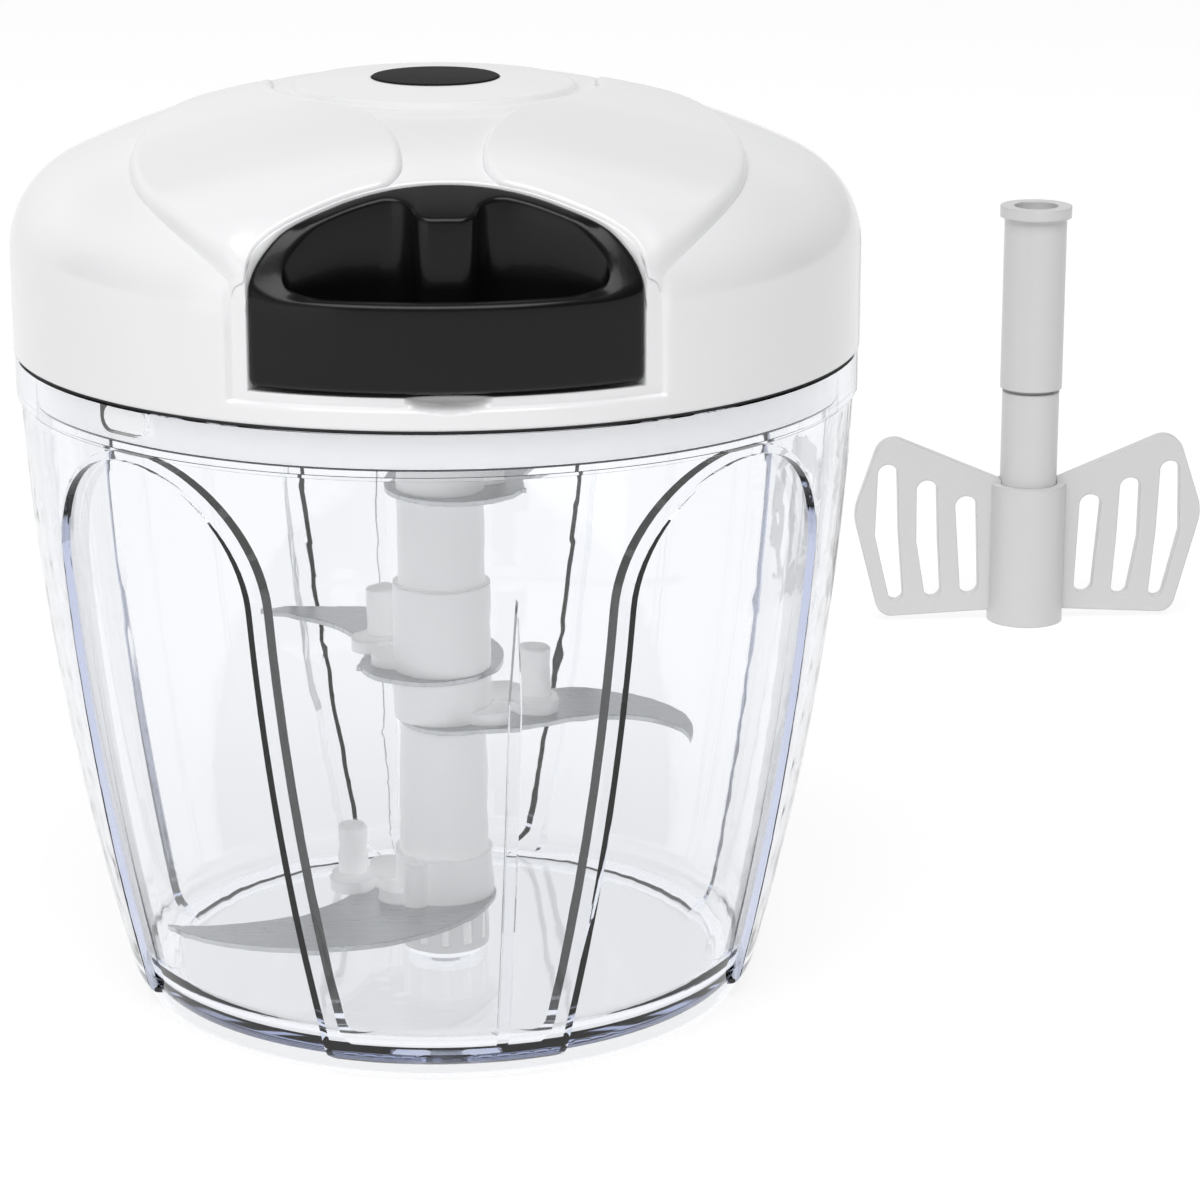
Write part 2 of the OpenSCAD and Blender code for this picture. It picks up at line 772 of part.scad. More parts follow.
// Cord boss with a hollow on each side that runs into the cavity's back
module boss_plan() {
    corner_c = [boss_flat / 2, -handle_back - boss_out + boss_r];
    back_r = handle_arc_r - grip_rim;
    fillet_c = circles_meet(handle_arc_c, back_r - boss_fillet, corner_c, boss_r + boss_fillet);
    arc_end = handle_arc_c + (back_r + 1) * unit(fillet_c - handle_arc_c);
    for (side = [-1, 1]) translate([side * corner_c.x, corner_c.y]) circle(boss_r);
    translate([-corner_c.x, corner_c.y - boss_r + press_gap]) square([2 * corner_c.x, boss_r]);
    difference() {
        polygon([
            corner_c, fillet_c, arc_end,
            [-arc_end.x, arc_end.y], [-fillet_c.x, fillet_c.y], [-corner_c.x, corner_c.y]
        ]);
        for (side = [-1, 1]) translate([side * fillet_c.x, fillet_c.y]) circle(boss_fillet + ease);
    }
}

// Plan of the finger cavity, with the cord boss left standing
module grip_plan() {
    half = handle_w / 2 - grip_side;
    difference() {
        intersection() {
            bay_front(half, lid_r - grip_t, grip_edge);
            bay_back(half, handle_arc_r - grip_rim, grip_round);
        }
        boss_plan();
    }
}

// Front view with rounded lower corners, open at the top
module upright_bay(half, bottom, corner) {
    for (side = [-1, 1]) translate([side * (half - corner), bottom + corner]) circle(corner);
    translate([corner - half, bottom]) square([2 * (half - corner), lid_h]);
    translate([-half, bottom + corner]) square([2 * half, lid_h]);
}

// What is cut off over the front wall, which ends lower than the lid's shoulder
module front_lip() {
    intersection() {
        rotate([90, 0, 0]) linear_extrude(2 * lid_r)
            upright_bay(handle_w / 2 - grip_side, handle_front_z, grip_edge);
        difference() {
            translate([0, 0, handle_z0]) cylinder(h = lid_h, r = lid_r + 1);
            translate([0, 0, handle_z0 - 1]) cylinder(h = lid_h + 2, r = lid_r - grip_t - grip_edge);
        }
    }
}

module pull_handle() {
    color([0.16, 0.16, 0.17]) difference() {
        intersection() {
            translate([0, 0, handle_z0]) linear_extrude(lid_h) handle_plan(0);
            lid_form(0, lid_bottom);
            rotate([90, 0, 0]) linear_extrude(2 * lid_r)
                upright_bay(handle_w / 2, handle_z0, handle_corner);
        }
        translate([0, 0, handle_z0 + grip_floor]) linear_extrude(lid_h) grip_plan();
        front_lip();
        translate([0, 1 - handle_back, cord_z]) rotate([90, 0, 0])
            cylinder(h = boss_out + 2, r = cord_d / 2 + seat_gap);
        translate([0, ferrule_y, cord_z]) rotate([90, 0, 0])
            cylinder(h = ferrule_l + boss_r, r = ferrule_r + run_gap);
    }
}

module cord_ferrule() {
    color("silver") translate([0, ferrule_y, cord_z]) rotate([90, 0, 0])
        cylinder(h = ferrule_l, r = ferrule_r);
}

// Points of one ring of a tube round a path's point
function along(path, i) = unit(path[min(i + 1, len(path) - 1)] - path[max(i - 1, 0)]);
function tube_points(path, radius, sides) = [
    for (i = [0 : len(path) - 1])
        let (ahead = along(path, i), aside = unit(cross(ahead, [0, 0, 1])), above = cross(aside, ahead))
            for (k = [0 : sides - 1])
                path[i] + radius * (cos(360 * k / sides) * aside + sin(360 * k / sides) * above)
];

// One unbroken tube along a path
module tube(path, radius, sides) {
    last = (len(path) - 1) * sides;
    start_cap = [for (k = [1 : sides - 2]) [0, k + 1, k]];
    end_cap = [for (k = [1 : sides - 2]) [last, last + k, last + k + 1]];
    skin = [
        for (i = [0 : len(path) - 2])
            for (k = [0 : sides - 1])
                let (a = i * sides + k, b = i * sides + (k + 1) % sides)
                    each [[a, b, b + sides], [a, b + sides, a + sides]]
    ];
    polyhedron(points = tube_points(path, radius, sides), faces = concat(start_cap, skin, end_cap));
}

// The cord's turns on the drum, from the point where it leaves, straight at both ends
function wind_point(turn) = [
    wind_r * cos(leave_angle + turn),
    wind_r * sin(leave_angle + turn),
    cord_z + wind_pitch * turn / 360
];
function wind_dir(turn) = [-sin(leave_angle + turn), cos(leave_angle + turn), 0];
wind_end = 360 * wind_turns;
wind_path = concat(
    [leave_point + cord_d * leave_dir],
    [for (turn = [0 : 360 / turn_steps : wind_end]) wind_point(turn)],
    [wind_point(wind_end) + cord_d * wind_dir(wind_end)]
);
wind_gap = min([
    for (i = [0 : len(wind_path) - 1])
        for (j = [i + turn_steps / 2 : 1 : len(wind_path) - 1])
            norm(wind_path[i] - wind_path[j]) - cord_d
]);
echo(least_gap_between_cord_turns = wind_gap);

// The cord from the drum to the handle: straight, a soft bend, straight
bend_from = bend_point - bend_trim * leave_dir;
bend_to = bend_point + bend_trim * pull_dir;
function bend_at(t) = pow(1 - t, 2) * bend_from + 2 * t * (1 - t) * bend_point + t * t * bend_to;
run_path = concat(
    [leave_point + cord_d * leave_dir, (leave_point + bend_from) / 2],
    [for (i = [0 : bend_steps]) bend_at(i / bend_steps)],
    [[0, -handle_back, cord_z], [0, ferrule_y, cord_z]]
);

module cord_winding() {
    color("gainsboro") tube(wind_path, cord_d / 2, cord_sides);
}

module cord_run() {
    color("gainsboro") tube(run_path, cord_d / 2, cord_sides);
}

module cord_reel() {
    color("lightgray") difference() {
        union() {
            translate([0, 0, reel_z0]) cylinder(h = reel_hub_h + 1, r = reel_hub_r);
            translate([0, 0, reel_z0 + reel_hub_h]) cylinder(h = reel_flange_t, r = reel_r);
            translate([0, 0, drum_z0 - 1]) cylinder(h = drum_h + 2, r = drum_r);
            translate([0, 0, drum_z0 + drum_h]) cylinder(h = reel_flange_t, r = reel_r);
        }
        translate([0, 0, drum_z0]) cylinder(h = lid_h, r = chamber_r);
        translate([0, 0, reel_z0 - 1]) cylinder(h = lid_h, r = axle_r + run_gap);
        translate([0, 0, reel_z0 - 1]) cylinder(h = reel_hub_h + 1, r = socket_r + key_gap, $fn = 6);
        translate([chamber_r - 1, -post_slot_w / 2, drum_z0])
            cube([spring_hook + 1, post_slot_w, spring_h + 1]);
    }
}

module reel_cover() {
    color("silver") translate([0, 0, reel_top]) difference() {
        cylinder(h = reel_cover_t, r = chamber_r + reel_cover_w);
        translate([0, 0, -1]) cylinder(h = reel_cover_t + 2, r = post_r + handle_gap);
    }
}

// Flat spiral strip, hooked into the centre post and into the drum
module recoil_spring() {
    turn_end = 360 * spring_turns;
    function strip(side) = [
        for (turn = [0 : spring_step : turn_end])
            let (r = spring_in + (spring_out - spring_in) * turn / turn_end + side * spring_t / 2)
                [r * cos(turn), r * sin(turn)]
    ];
    inner = strip(-1);
    hook_x = post_r - post_slot_d + seat_gap;
    color("slategray") translate([0, 0, post_z0 + 0.3]) linear_extrude(spring_h - 1) {
        polygon(concat(strip(1), [for (i = [len(inner) - 1 : -1 : 0]) inner[i]]));
        translate([hook_x, -spring_t / 2]) square([spring_in - hook_x + spring_t / 2, spring_t]);
        translate([spring_out - spring_t / 2, -spring_t / 2])
            square([chamber_r + spring_hook - seat_gap - spring_out + spring_t / 2, spring_t]);
    }
}

module drive_spigot() {
    journal_top = reel_z0 - seat_gap / 2;
    color("whitesmoke") difference() {
        union() {
            translate([0, 0, journal_z0]) cylinder(h = journal_top - journal_z0, r = journal_r);
            translate([0, 0, journal_top - 1]) cylinder(h = reel_hub_h + 1, r = socket_r, $fn = 6);
            translate([0, 0, journal_z0 - spigot_collar_h])
                cylinder(h = spigot_collar_h, r = spigot_collar_r);
            translate([0, 0, spigot_z0]) cylinder(h = journal_z0 - spigot_z0 - 1, r = hex_r, $fn = 6);
        }
        translate([0, 0, bowl_h - seat_gap]) cylinder(h = lid_h, r = axle_r + run_gap);
    }
}

module hex_hole(height, radius) {
    translate([0, 0, -1]) cylinder(h = height + 2, r = radius + key_gap, $fn = 6);
}

module spindle() {
    color("white") translate([0, 0, column_z0]) difference() {
        cylinder(h = spindle_top - column_z0, r = spindle_r, $fn = 6);
        translate([0, 0, -1]) cylinder(h = pin_top - column_z0 + seat_gap + 1, r = pin_r + run_gap);
    }
}

// Plain sleeve on the spindle
module sleeve(z, height, radius) {
    translate([0, 0, z]) difference() {
        cylinder(h = height, r = radius);
        hex_hole(height, spindle_r);
    }
}

module foot_sleeve() {
    color("white") difference() {
        sleeve(column_z0, foot_sleeve_h, sleeve_r);
        for (i = [0 : foot_slots - 1]) rotate(360 * i / foot_slots)
            translate([sleeve_r - foot_slot_d, -foot_slot_w / 2, column_z0 + foot_band])
                cube([foot_slot_d + 1, foot_slot_w, foot_sleeve_h - 2 * foot_band]);
    }
}

module lower_spacer() {
    color("white") sleeve(lower_spacer_z, lower_spacer_h, sleeve_r);
}

module upper_spacer() {
    color("white") sleeve(upper_spacer_z, upper_spacer_h, sleeve_r);
}

// Sabre-shaped blade: round root, bowed belly, hollow back, sharp tip
module blade_outline() {
    translate(blade_root_c) circle(blade_root_r);
    difference() {
        intersection() {
            translate(belly_c) circle(belly_r);
            polygon([
                [blade_root_r, -blade_root_r], [2 * blade_reach, -blade_root_r],
                [2 * blade_reach, blade_reach], [-blade_root_r / 2, blade_reach],
                [-blade_root_r / 2, blade_root_r / 2]
            ]);
        }
        translate(hollow_c) circle(hollow_r);
    }
}

// Slim blade: small root, straight front into a deep hollow, hooked tip
module slim_outline() {
    front = slim_root_c + slim_root_r * [sin(slim_slope), -cos(slim_slope)];
    run = slim_hollow_c.x - slim_hollow_r * sin(slim_slope) - front.x;
    front_end = front + run * [1, tan(slim_slope)];
    translate(slim_root_c) circle(slim_root_r);
    difference() {
        intersection() {
            translate(slim_belly_c) circle(slim_belly_r);
            polygon([
                front, front_end, [front_end.x, slim_hollow_c.y], [2 * slim_reach, slim_hollow_c.y],
                [2 * slim_reach, slim_reach], [0, slim_reach], slim_root_c
            ]);
        }
        translate(slim_hollow_c) circle(slim_hollow_r);
    }
}

// Children turned to a place on the column, mirrored where side is negative
module placed(turn, side) {
    rotate(turn) mirror([0, side < 0 ? 1 : 0, 0]) children();
}

// Flat blade from the outline given as a child, holed for the spindle and the holder's rivets
module blade(z, pad_turn, pad_side) {
    color("darkgray") translate([0, 0, z]) linear_extrude(blade_t) difference() {
        children();
        circle(spindle_r + key_gap, $fn = 6);
        placed(pad_turn, pad_side)
            for (place = pad_rivets) translate(place) circle(rivet_r + run_gap);
    }
}

module bottom_blade() {
    blade(bottom_blade_z, bottom_angle, -1) rotate(bottom_angle) blade_outline();
}

module right_blade() {
    blade(right_blade_z, right_angle, 1) rotate(right_angle) slim_outline();
}

module left_blade() {
    blade(left_blade_z, left_pad_angle, -1) placed(left_angle, -1) blade_outline();
}

module top_blade() {
    blade(top_blade_z, top_angle, 1) rotate(top_angle) blade_outline();
}

// Collar with a lobed pad on its blade, rivets through the blade and a tall peg
module holder(z, turn, side, height, radius) {
    color("white") translate([0, 0, z]) {
        difference() {
            union() {
                cylinder(h = height, r = radius);
                placed(turn, side) for (lobe = pad_lobes)
                    translate([lobe.x, lobe.y, 0]) cylinder(h = pad_t, r = lobe.z);
            }
            hex_hole(height, spindle_r);
        }
        placed(turn, side) {
            for (place = pad_rivets) translate([place.x, place.y, -blade_t])
                cylinder(h = blade_t + 1, r = rivet_r);
            translate([peg_place.x, peg_place.y, pad_t - 1]) cylinder(h = peg_h + 1 - peg_bevel, r = peg_r);
            translate([peg_place.x, peg_place.y, pad_t + peg_h - peg_bevel])
                cylinder(h = peg_bevel, r1 = peg_r, r2 = peg_r - peg_bevel);
        }
    }
}

module bottom_holder() {
    holder(bottom_holder_z, bottom_angle, -1, bottom_collar_h, collar_r);
    color("white") translate([0, 0, bottom_holder_z]) placed(bottom_angle, -1)
        translate(low_peg_place) cylinder(h = bottom_collar_h - peg_bevel, r = low_peg_r);
}

module right_holder() {
    holder(right_holder_z, right_angle, 1, right_collar_h, collar_r);
}

module left_holder() {
    holder(left_holder_z, left_pad_angle, -1, left_collar_h, collar_r);
}

module top_holder() {
    holder(top_holder_z, top_angle, 1, top_collar_h, sleeve_r);
}

module drive_coupling() {
    color("white") translate([0, 0, coupling_z]) difference() {
        union() {
            cylinder(h = coupling_h, r = sleeve_r);
            translate([0, 0, coupling_h - coupling_flange_t])
                cylinder(h = coupling_flange_t, r = coupling_flange_r);
        }
        translate([0, 0, -1]) cylinder(h = spindle_grip + 1 + seat_gap, r = spindle_r + key_gap, $fn = 6);
        cylinder(h = coupling_h + 1, r = hex_r + seat_gap, $fn = 6);
    }
}

// Slot with round ends whose width runs from one radius to the other
module taper_slot(from, to, from_r, to_r) {
    way = unit(to - from);
    aside = [-way.y, way.x];
    translate(from) circle(from_r);
    translate(to) circle(to_r);
    polygon([
        from + (from_r - press_gap) * aside, from - (from_r - press_gap) * aside,
        to - (to_r - press_gap) * aside, to + (to_r - press_gap) * aside
    ]);
}

// One of the paddle's slots, bowed outwards and widest at its middle
module wing_slot(i) {
    foot = slot_foot + i * slot_foot_step;
    top = slot_top + i * slot_top_step;
    foot_r = slot_foot_r - i * slot_taper;
    top_r = slot_top_r - i * slot_taper / 2;
    middle = (foot + top) / 2 + [i * slot_bow, 0];
    middle_r = (foot_r + top_r) / 2 + i * slot_swell;
    taper_slot(foot, middle, foot_r, middle_r);
    taper_slot(middle, top, middle_r, top_r);
}

// One wing of the paddle in its own plane
module wing_outline() {
    difference() {
        hull() {
            translate([wing_root, wing_low + wing_root_r]) circle(wing_root_r);
            translate([wing_root, hub_h - wing_root_r]) circle(wing_root_r);
            translate([wing_reach - wing_foot_in, wing_low + wing_foot_r - 1.2]) circle(wing_foot_r);
            translate([wing_reach - wing_bow_r, wing_bow_z]) circle(wing_bow_r);
            translate([wing_reach - wing_tip_in, wing_h - wing_tip_r]) circle(wing_tip_r);
        }
        for (i = [0 : slot_count - 1]) wing_slot(i);
    }
}

module mixer_paddle() {
    color("whitesmoke") translate([mixer_x, mixer_y, 0]) difference() {
        union() {
            cylinder(h = hub_h, r = hub_r);
            for (side = [0, 1]) mirror([side, 0, 0])
                rotate([90, 0, 0]) translate([0, 0, -wing_t / 2]) linear_extrude(wing_t) wing_outline();
        }
        translate([0, 0, mixer_seat]) cylinder(h = wing_h, r = mixer_stem_r + run_gap);
        translate([0, 0, -1]) cylinder(h = mixer_seat + 2, r = pin_r + run_gap);
    }
}

module mixer_stem() {
    shoulder_z = mixer_tube_z - mixer_groove;
    color("whitesmoke") translate([mixer_x, mixer_y, 0]) difference() {
        union() {
            translate([0, 0, mixer_seat]) cylinder(h = shoulder_z - mixer_seat, r = mixer_stem_r);
            translate([0, 0, shoulder_z - 1])
                cylinder(h = mixer_groove + mixer_spigot_h + 1, r = mixer_spigot_r);
        }
        translate([0, 0, mixer_seat - 1])
            cylinder(h = pin_top - floor_top - mixer_seat + 1, r = pin_r + run_gap);
    }
}

module mixer_tube() {
    flange_z = column_h - mixer_flange_t;
    color("whitesmoke") translate([mixer_x, mixer_y, 0]) difference() {
        union() {
            translate([0, 0, mixer_tube_z]) cylinder(h = column_h - mixer_tube_z, r = mixer_tube_r);
            translate([0, 0, flange_z]) cylinder(h = mixer_flange_t, r = mixer_flange_r);
        }
        translate([0, 0, mixer_tube_z - 1]) cylinder(h = mixer_spigot_h + 1.5, r = mixer_spigot_r + run_gap);
        translate([0, 0, column_h - mixer_mouth_h]) cylinder(h = mixer_mouth_h + 1, r = mixer_mouth_r);
        translate([0, 0, column_h - mixer_mouth_h - mixer_socket_h])
            cylinder(h = mixer_socket_h + 1, r = hex_r + seat_gap, $fn = 6);
    }
}

bowl();
pivot_pin();
lid_cover();
lid_base();
crown_cap();
drive_bush();
reel_axle();
housing_screws();
cord_eyelet();
pull_handle();
cord_ferrule();
cord_run();
cord_reel();
reel_cover();
recoil_spring();
cord_winding();
drive_spigot();
spindle();
foot_sleeve();
bottom_blade();
bottom_holder();
lower_spacer();
right_blade();
right_holder();
left_blade();
left_holder();
upper_spacer();
top_blade();
top_holder();
drive_coupling();
mixer_paddle();
mixer_stem();
mixer_tube();
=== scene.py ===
# %% [markdown]
# # A pull-string food chopper
# The CAD model is loaded as a fixed frame. Its pieces already stand where they belong,
# so this script dresses them: soft rounded forms, finishes, light and a camera.
# Shapes are worked out in millimetres, as on a drawing, and become metres in one place.

# %% Load the frame
import json
import math

import bmesh
import bpy
import numpy as np
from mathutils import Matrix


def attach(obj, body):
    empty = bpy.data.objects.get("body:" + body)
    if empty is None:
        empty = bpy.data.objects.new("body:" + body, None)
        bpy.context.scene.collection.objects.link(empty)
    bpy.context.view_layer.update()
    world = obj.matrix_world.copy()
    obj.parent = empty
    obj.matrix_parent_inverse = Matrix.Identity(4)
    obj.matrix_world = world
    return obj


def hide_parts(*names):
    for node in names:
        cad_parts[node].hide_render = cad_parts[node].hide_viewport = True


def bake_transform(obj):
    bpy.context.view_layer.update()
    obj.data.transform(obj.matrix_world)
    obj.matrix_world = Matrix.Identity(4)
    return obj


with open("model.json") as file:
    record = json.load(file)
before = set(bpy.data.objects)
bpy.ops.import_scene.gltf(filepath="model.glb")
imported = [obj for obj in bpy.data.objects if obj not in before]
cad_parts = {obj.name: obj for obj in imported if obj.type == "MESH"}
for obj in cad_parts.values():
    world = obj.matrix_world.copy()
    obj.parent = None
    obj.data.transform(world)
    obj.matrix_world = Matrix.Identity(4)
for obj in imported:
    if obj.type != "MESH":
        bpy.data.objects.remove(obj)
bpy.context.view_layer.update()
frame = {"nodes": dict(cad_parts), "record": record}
MM = 0.001

# %% [markdown]
# ## Camera
# The viewpoint was worked out from the photograph: the ellipses of lid and bowl give the
# height of the eye, and the paddle that stands further back gives the distance.
# A long lens from 0.6 m gives the same gentle perspective. There is no depth of field.

# %% Camera at the photograph's viewpoint
EYE = (-12.57, -599.87, 231.0)
YAW, PITCH = math.radians(3.59), math.radians(15.81)
FOCAL_PIXELS, FRAME_PIXELS, SENSOR = 3952.0, 1200.0, 36.0

camera_data = bpy.data.cameras.new("photo_camera")
camera_data.sensor_width = SENSOR
camera_data.lens = SENSOR * FOCAL_PIXELS / FRAME_PIXELS
camera_data.clip_start, camera_data.clip_end = 0.01, 30.0
camera = bpy.data.objects.new("photo_camera", camera_data)
camera.location = [MM * v for v in EYE]
camera.rotation_euler = (math.pi / 2 - PITCH, 0.0, -YAW)
bpy.context.scene.collection.objects.link(camera)
bpy.context.scene.camera = camera
print("lens:", round(camera_data.lens, 1), "mm")

# %% [markdown]
# ## Studio
# White plastic and clear plastic are photographed on a white table under one large soft box. The
# floor is a plain pale sheet that glows, so shadows stay weak. The sky is dim, and dimmest low
# in front, which keeps the lid's flank greyer than its top. A bright backdrop behind is mirrored
# by the black rim and the blades. Two dark side panels give the clear bowl something dark to
# bend along its edges.

# %% Floor
FLOOR_HALF, FLOOR_GREY, FLOOR_ROUGH, FLOOR_GLOW = 4.0, 0.2, 0.9, 0.83


def studio_floor():
    """A flat square sheet at height zero, four corners at plus and minus FLOOR_HALF."""
    mesh = bpy.data.meshes.new("studio_floor")
    corners = FLOOR_HALF * np.array([(-1, -1, 0), (1, -1, 0), (1, 1, 0), (-1, 1, 0)], float)
    mesh.from_pydata(corners.tolist(), [], [(0, 1, 2, 3)])
    floor = bpy.data.objects.new("studio_floor", mesh)
    bpy.context.scene.collection.objects.link(floor)
    paint = bpy.data.materials.new("studio_floor")
    paint.use_nodes = True
    shader = paint.node_tree.nodes["Principled BSDF"]
    shader.inputs["Base Color"].default_value = (FLOOR_GREY, FLOOR_GREY, FLOOR_GREY, 1)
    shader.inputs["Roughness"].default_value = FLOOR_ROUGH
    shader.inputs["Emission Color"].default_value = (1.0, 1.0, 1.0, 1)
    shader.inputs["Emission Strength"].default_value = FLOOR_GLOW
    mesh.materials.append(paint)


studio_floor()
print("floor:", 2 * FLOOR_HALF, "m wide")


# %% [markdown]
# Brightness that changes with direction or height is built from two small node helpers: a grey
# ramp and a maths node.

# %% Node helpers
def ramp_node(tree, source, low, high, at):
    """Grey ramp from low to high over the two places `at` of a source socket."""
    ramp = tree.nodes.new("ShaderNodeValToRGB")
    ends = ramp.color_ramp.elements
    ends[0].position, ends[1].position = at
    ends[0].color = (low, low, low, 1)
    ends[1].color = (high, high, high, 1)
    tree.links.new(source, ramp.inputs["Fac"])
    return ramp.outputs["Color"]


def math_node(tree, kind, first, second=None, third=None):
    """One maths node whose inputs are sockets or numbers."""
    node = tree.nodes.new("ShaderNodeMath")
    node.operation = kind
    for socket, value in zip(node.inputs, (first, second, third)):
        if isinstance(value, bpy.types.NodeSocket):
            tree.links.new(value, socket)
        elif value is not None:
            socket.default_value = value
    return node.outputs[0]


# %% Sky
def share_node(tree, mask, share):
    """Factor that is 1 where the mask is 0 and `share` where it is 1."""
    return math_node(tree, "MULTIPLY_ADD", mask, share - 1.0, 1.0)


def white_sky(left=1.0, right=0.62, flag=0.12, front=0.2, back=3.0, strength=0.33):
    """Sky brightness: falls from left to right, times a dark panel near the X axis on both sides,
    times the share `front` low down in front, so that upright walls are greyer than the top, and
    times `back` low down behind, where the white backdrop stands."""
    world = bpy.data.worlds.new("white_sky")
    world.use_nodes = True
    tree = world.node_tree
    place = tree.nodes.new("ShaderNodeTexCoord")
    split = tree.nodes.new("ShaderNodeSeparateXYZ")
    tree.links.new(place.outputs["Generated"], split.inputs[0])
    across, deep, up = (split.outputs[axis] for axis in "XYZ")
    rightward = math_node(tree, "MULTIPLY_ADD", across, 0.5, 0.5)
    fall = ramp_node(tree, rightward, left, right, (0.15, 0.9))
    side = ramp_node(tree, math_node(tree, "ABSOLUTE", across), 0.0, 1.0, (0.86, 0.93))
    low = ramp_node(tree, up, 1.0, 0.0, (0.25, 0.45))
    below = ramp_node(tree, up, 1.0, 0.0, (0.35, 0.65))
    ahead = ramp_node(tree, math_node(tree, "MULTIPLY", deep, -1.0), 0.0, 1.0, (0.1, 0.6))
    behind = ramp_node(tree, deep, 0.0, 1.0, (0.2, 0.7))
    glow = fall
    for mask, height, share in ((side, low, flag), (ahead, below, front), (behind, below, back)):
        factor = share_node(tree, math_node(tree, "MULTIPLY", mask, height), share)
        glow = math_node(tree, "MULTIPLY", glow, factor)
    tree.links.new(glow, tree.nodes["Background"].inputs["Color"])
    tree.nodes["Background"].inputs["Strength"].default_value = strength
    bpy.context.scene.world = world


white_sky()
print("sky:", bpy.context.scene.world.name)

# %% [markdown]
# Lamps are area lamps, because only a wide source gives soft shadows. The soft box hangs high in
# front, so the slopes of the lid that face it are the brightest. A low lamp on the left fills
# the left flank, and the right one falls off to grey, as in the photograph. A weak lamp
# behind draws the back edge of the handle, and a low strip in front a thin line on the lid.

# %% Lamps
def soft_lamp(name, place, aim, size, watts):
    """A rectangular area lamp of size (width, height) in metres. It stands at place and faces aim,
    both in millimetres."""
    data = bpy.data.lights.new(name, "AREA")
    data.shape, data.energy = "RECTANGLE", watts
    data.size, data.size_y = size
    lamp = bpy.data.objects.new(name, data)
    away = np.array(place, float) - np.array(aim, float)
    lamp.location = [MM * v for v in place]
    flat = math.hypot(away[0], away[1])
    lamp.rotation_euler = (math.atan2(flat, away[2]), 0.0, math.atan2(away[0], -away[1]))
    bpy.context.scene.collection.objects.link(lamp)


soft_lamp("left_lamp", (-900, -800, 300), (0, 0, 100), (0.8, 0.8), 1.6)
soft_lamp("soft_box", (-93, -1063, 2024), (0, 0, 100), (2.2, 1.4), 48.0)
soft_lamp("back_lamp", (0, 750, 1150), (0, 0, 130), (1.3, 0.4), 0.6)
soft_lamp("strip_lamp", (-150, -1150, 330), (0, 0, 120), (1.1, 0.06), 0.3)
bpy.context.scene.view_settings.view_transform = "Standard"

# %% [markdown]
# ## Finishes
# Moulded plastic is never one flat value: the polish varies a little and the skin has a faint
# waviness. Each finish below is a principled shader whose roughness and bump come from noise
# on object coordinates, at the scale of the real grain. Moulded edges are never knife sharp,
# so a small edge radius softens the shading where two faces of a CAD node meet.

# %% Plastic and metal finishes
COAT_ROUGH, GRAIN_DETAIL, SKIN_DEPTH, EDGE_SAMPLES = 0.06, 4.0, 0.001, 6


def finish(name, colour, rough, metal=0.0, grain=400.0, bump=0.02, tint=0.04, stretch=(1, 1, 1),
           edge=0.0, shine=0.5, coat=0.0, glow=0.0):
    """Principled finish. Noise at `grain` cycles a metre, stretched by `stretch`, moves the
    roughness between the two values of `rough`, the colour by `tint`, and bumps the skin.
    Edges are shaded round with the radius `edge` in millimetres. shine is the strength of the
    mirror image, coat that of a second, clear layer, and glow a painted light: an emission that
    makes a piece brighter, though it is no lamp."""
    material = bpy.data.materials.new(name)
    material.use_nodes = True
    nodes, links = material.node_tree.nodes, material.node_tree.links
    shader = nodes["Principled BSDF"]
    shader.inputs["Metallic"].default_value = metal
    shader.inputs["Specular IOR Level"].default_value = shine
    shader.inputs["Coat Weight"].default_value = coat
    shader.inputs["Coat Roughness"].default_value = COAT_ROUGH
    shader.inputs["Emission Color"].default_value = (*colour, 1)
    shader.inputs["Emission Strength"].default_value = glow
    place = nodes.new("ShaderNodeTexCoord")
    mapping = nodes.new("ShaderNodeMapping")
    mapping.inputs["Scale"].default_value = stretch
    noise = nodes.new("ShaderNodeTexNoise")
    noise.inputs["Scale"].default_value = grain
    noise.inputs["Detail"].default_value = GRAIN_DETAIL
    polish = nodes.new("ShaderNodeMapRange")
    polish.inputs["To Min"].default_value, polish.inputs["To Max"].default_value = rough
    shade = nodes.new("ShaderNodeValToRGB")
    low, high = (tuple(min(1.0, c * (1 + s * tint)) for c in colour) for s in (-1, 1))
    shade.color_ramp.elements[0].color = (*low, 1)
    shade.color_ramp.elements[1].color = (*high, 1)
    skin = nodes.new("ShaderNodeBump")
    skin.inputs["Strength"].default_value = bump
    skin.inputs["Distance"].default_value = SKIN_DEPTH
    links.new(place.outputs["Object"], mapping.inputs["Vector"])
    links.new(mapping.outputs["Vector"], noise.inputs["Vector"])
    links.new(noise.outputs["Fac"], polish.inputs["Value"])
    links.new(noise.outputs["Fac"], shade.inputs["Fac"])
    links.new(noise.outputs["Fac"], skin.inputs["Height"])
    links.new(polish.outputs["Result"], shader.inputs["Roughness"])
    links.new(shade.outputs["Color"], shader.inputs["Base Color"])
    links.new(skin.outputs["Normal"], shader.inputs["Normal"])
    if edge:
        rounding = nodes.new("ShaderNodeBevel")
        rounding.samples = EDGE_SAMPLES
        rounding.inputs["Radius"].default_value = edge * MM
        links.new(rounding.outputs["Normal"], skin.inputs["Normal"])
    return material


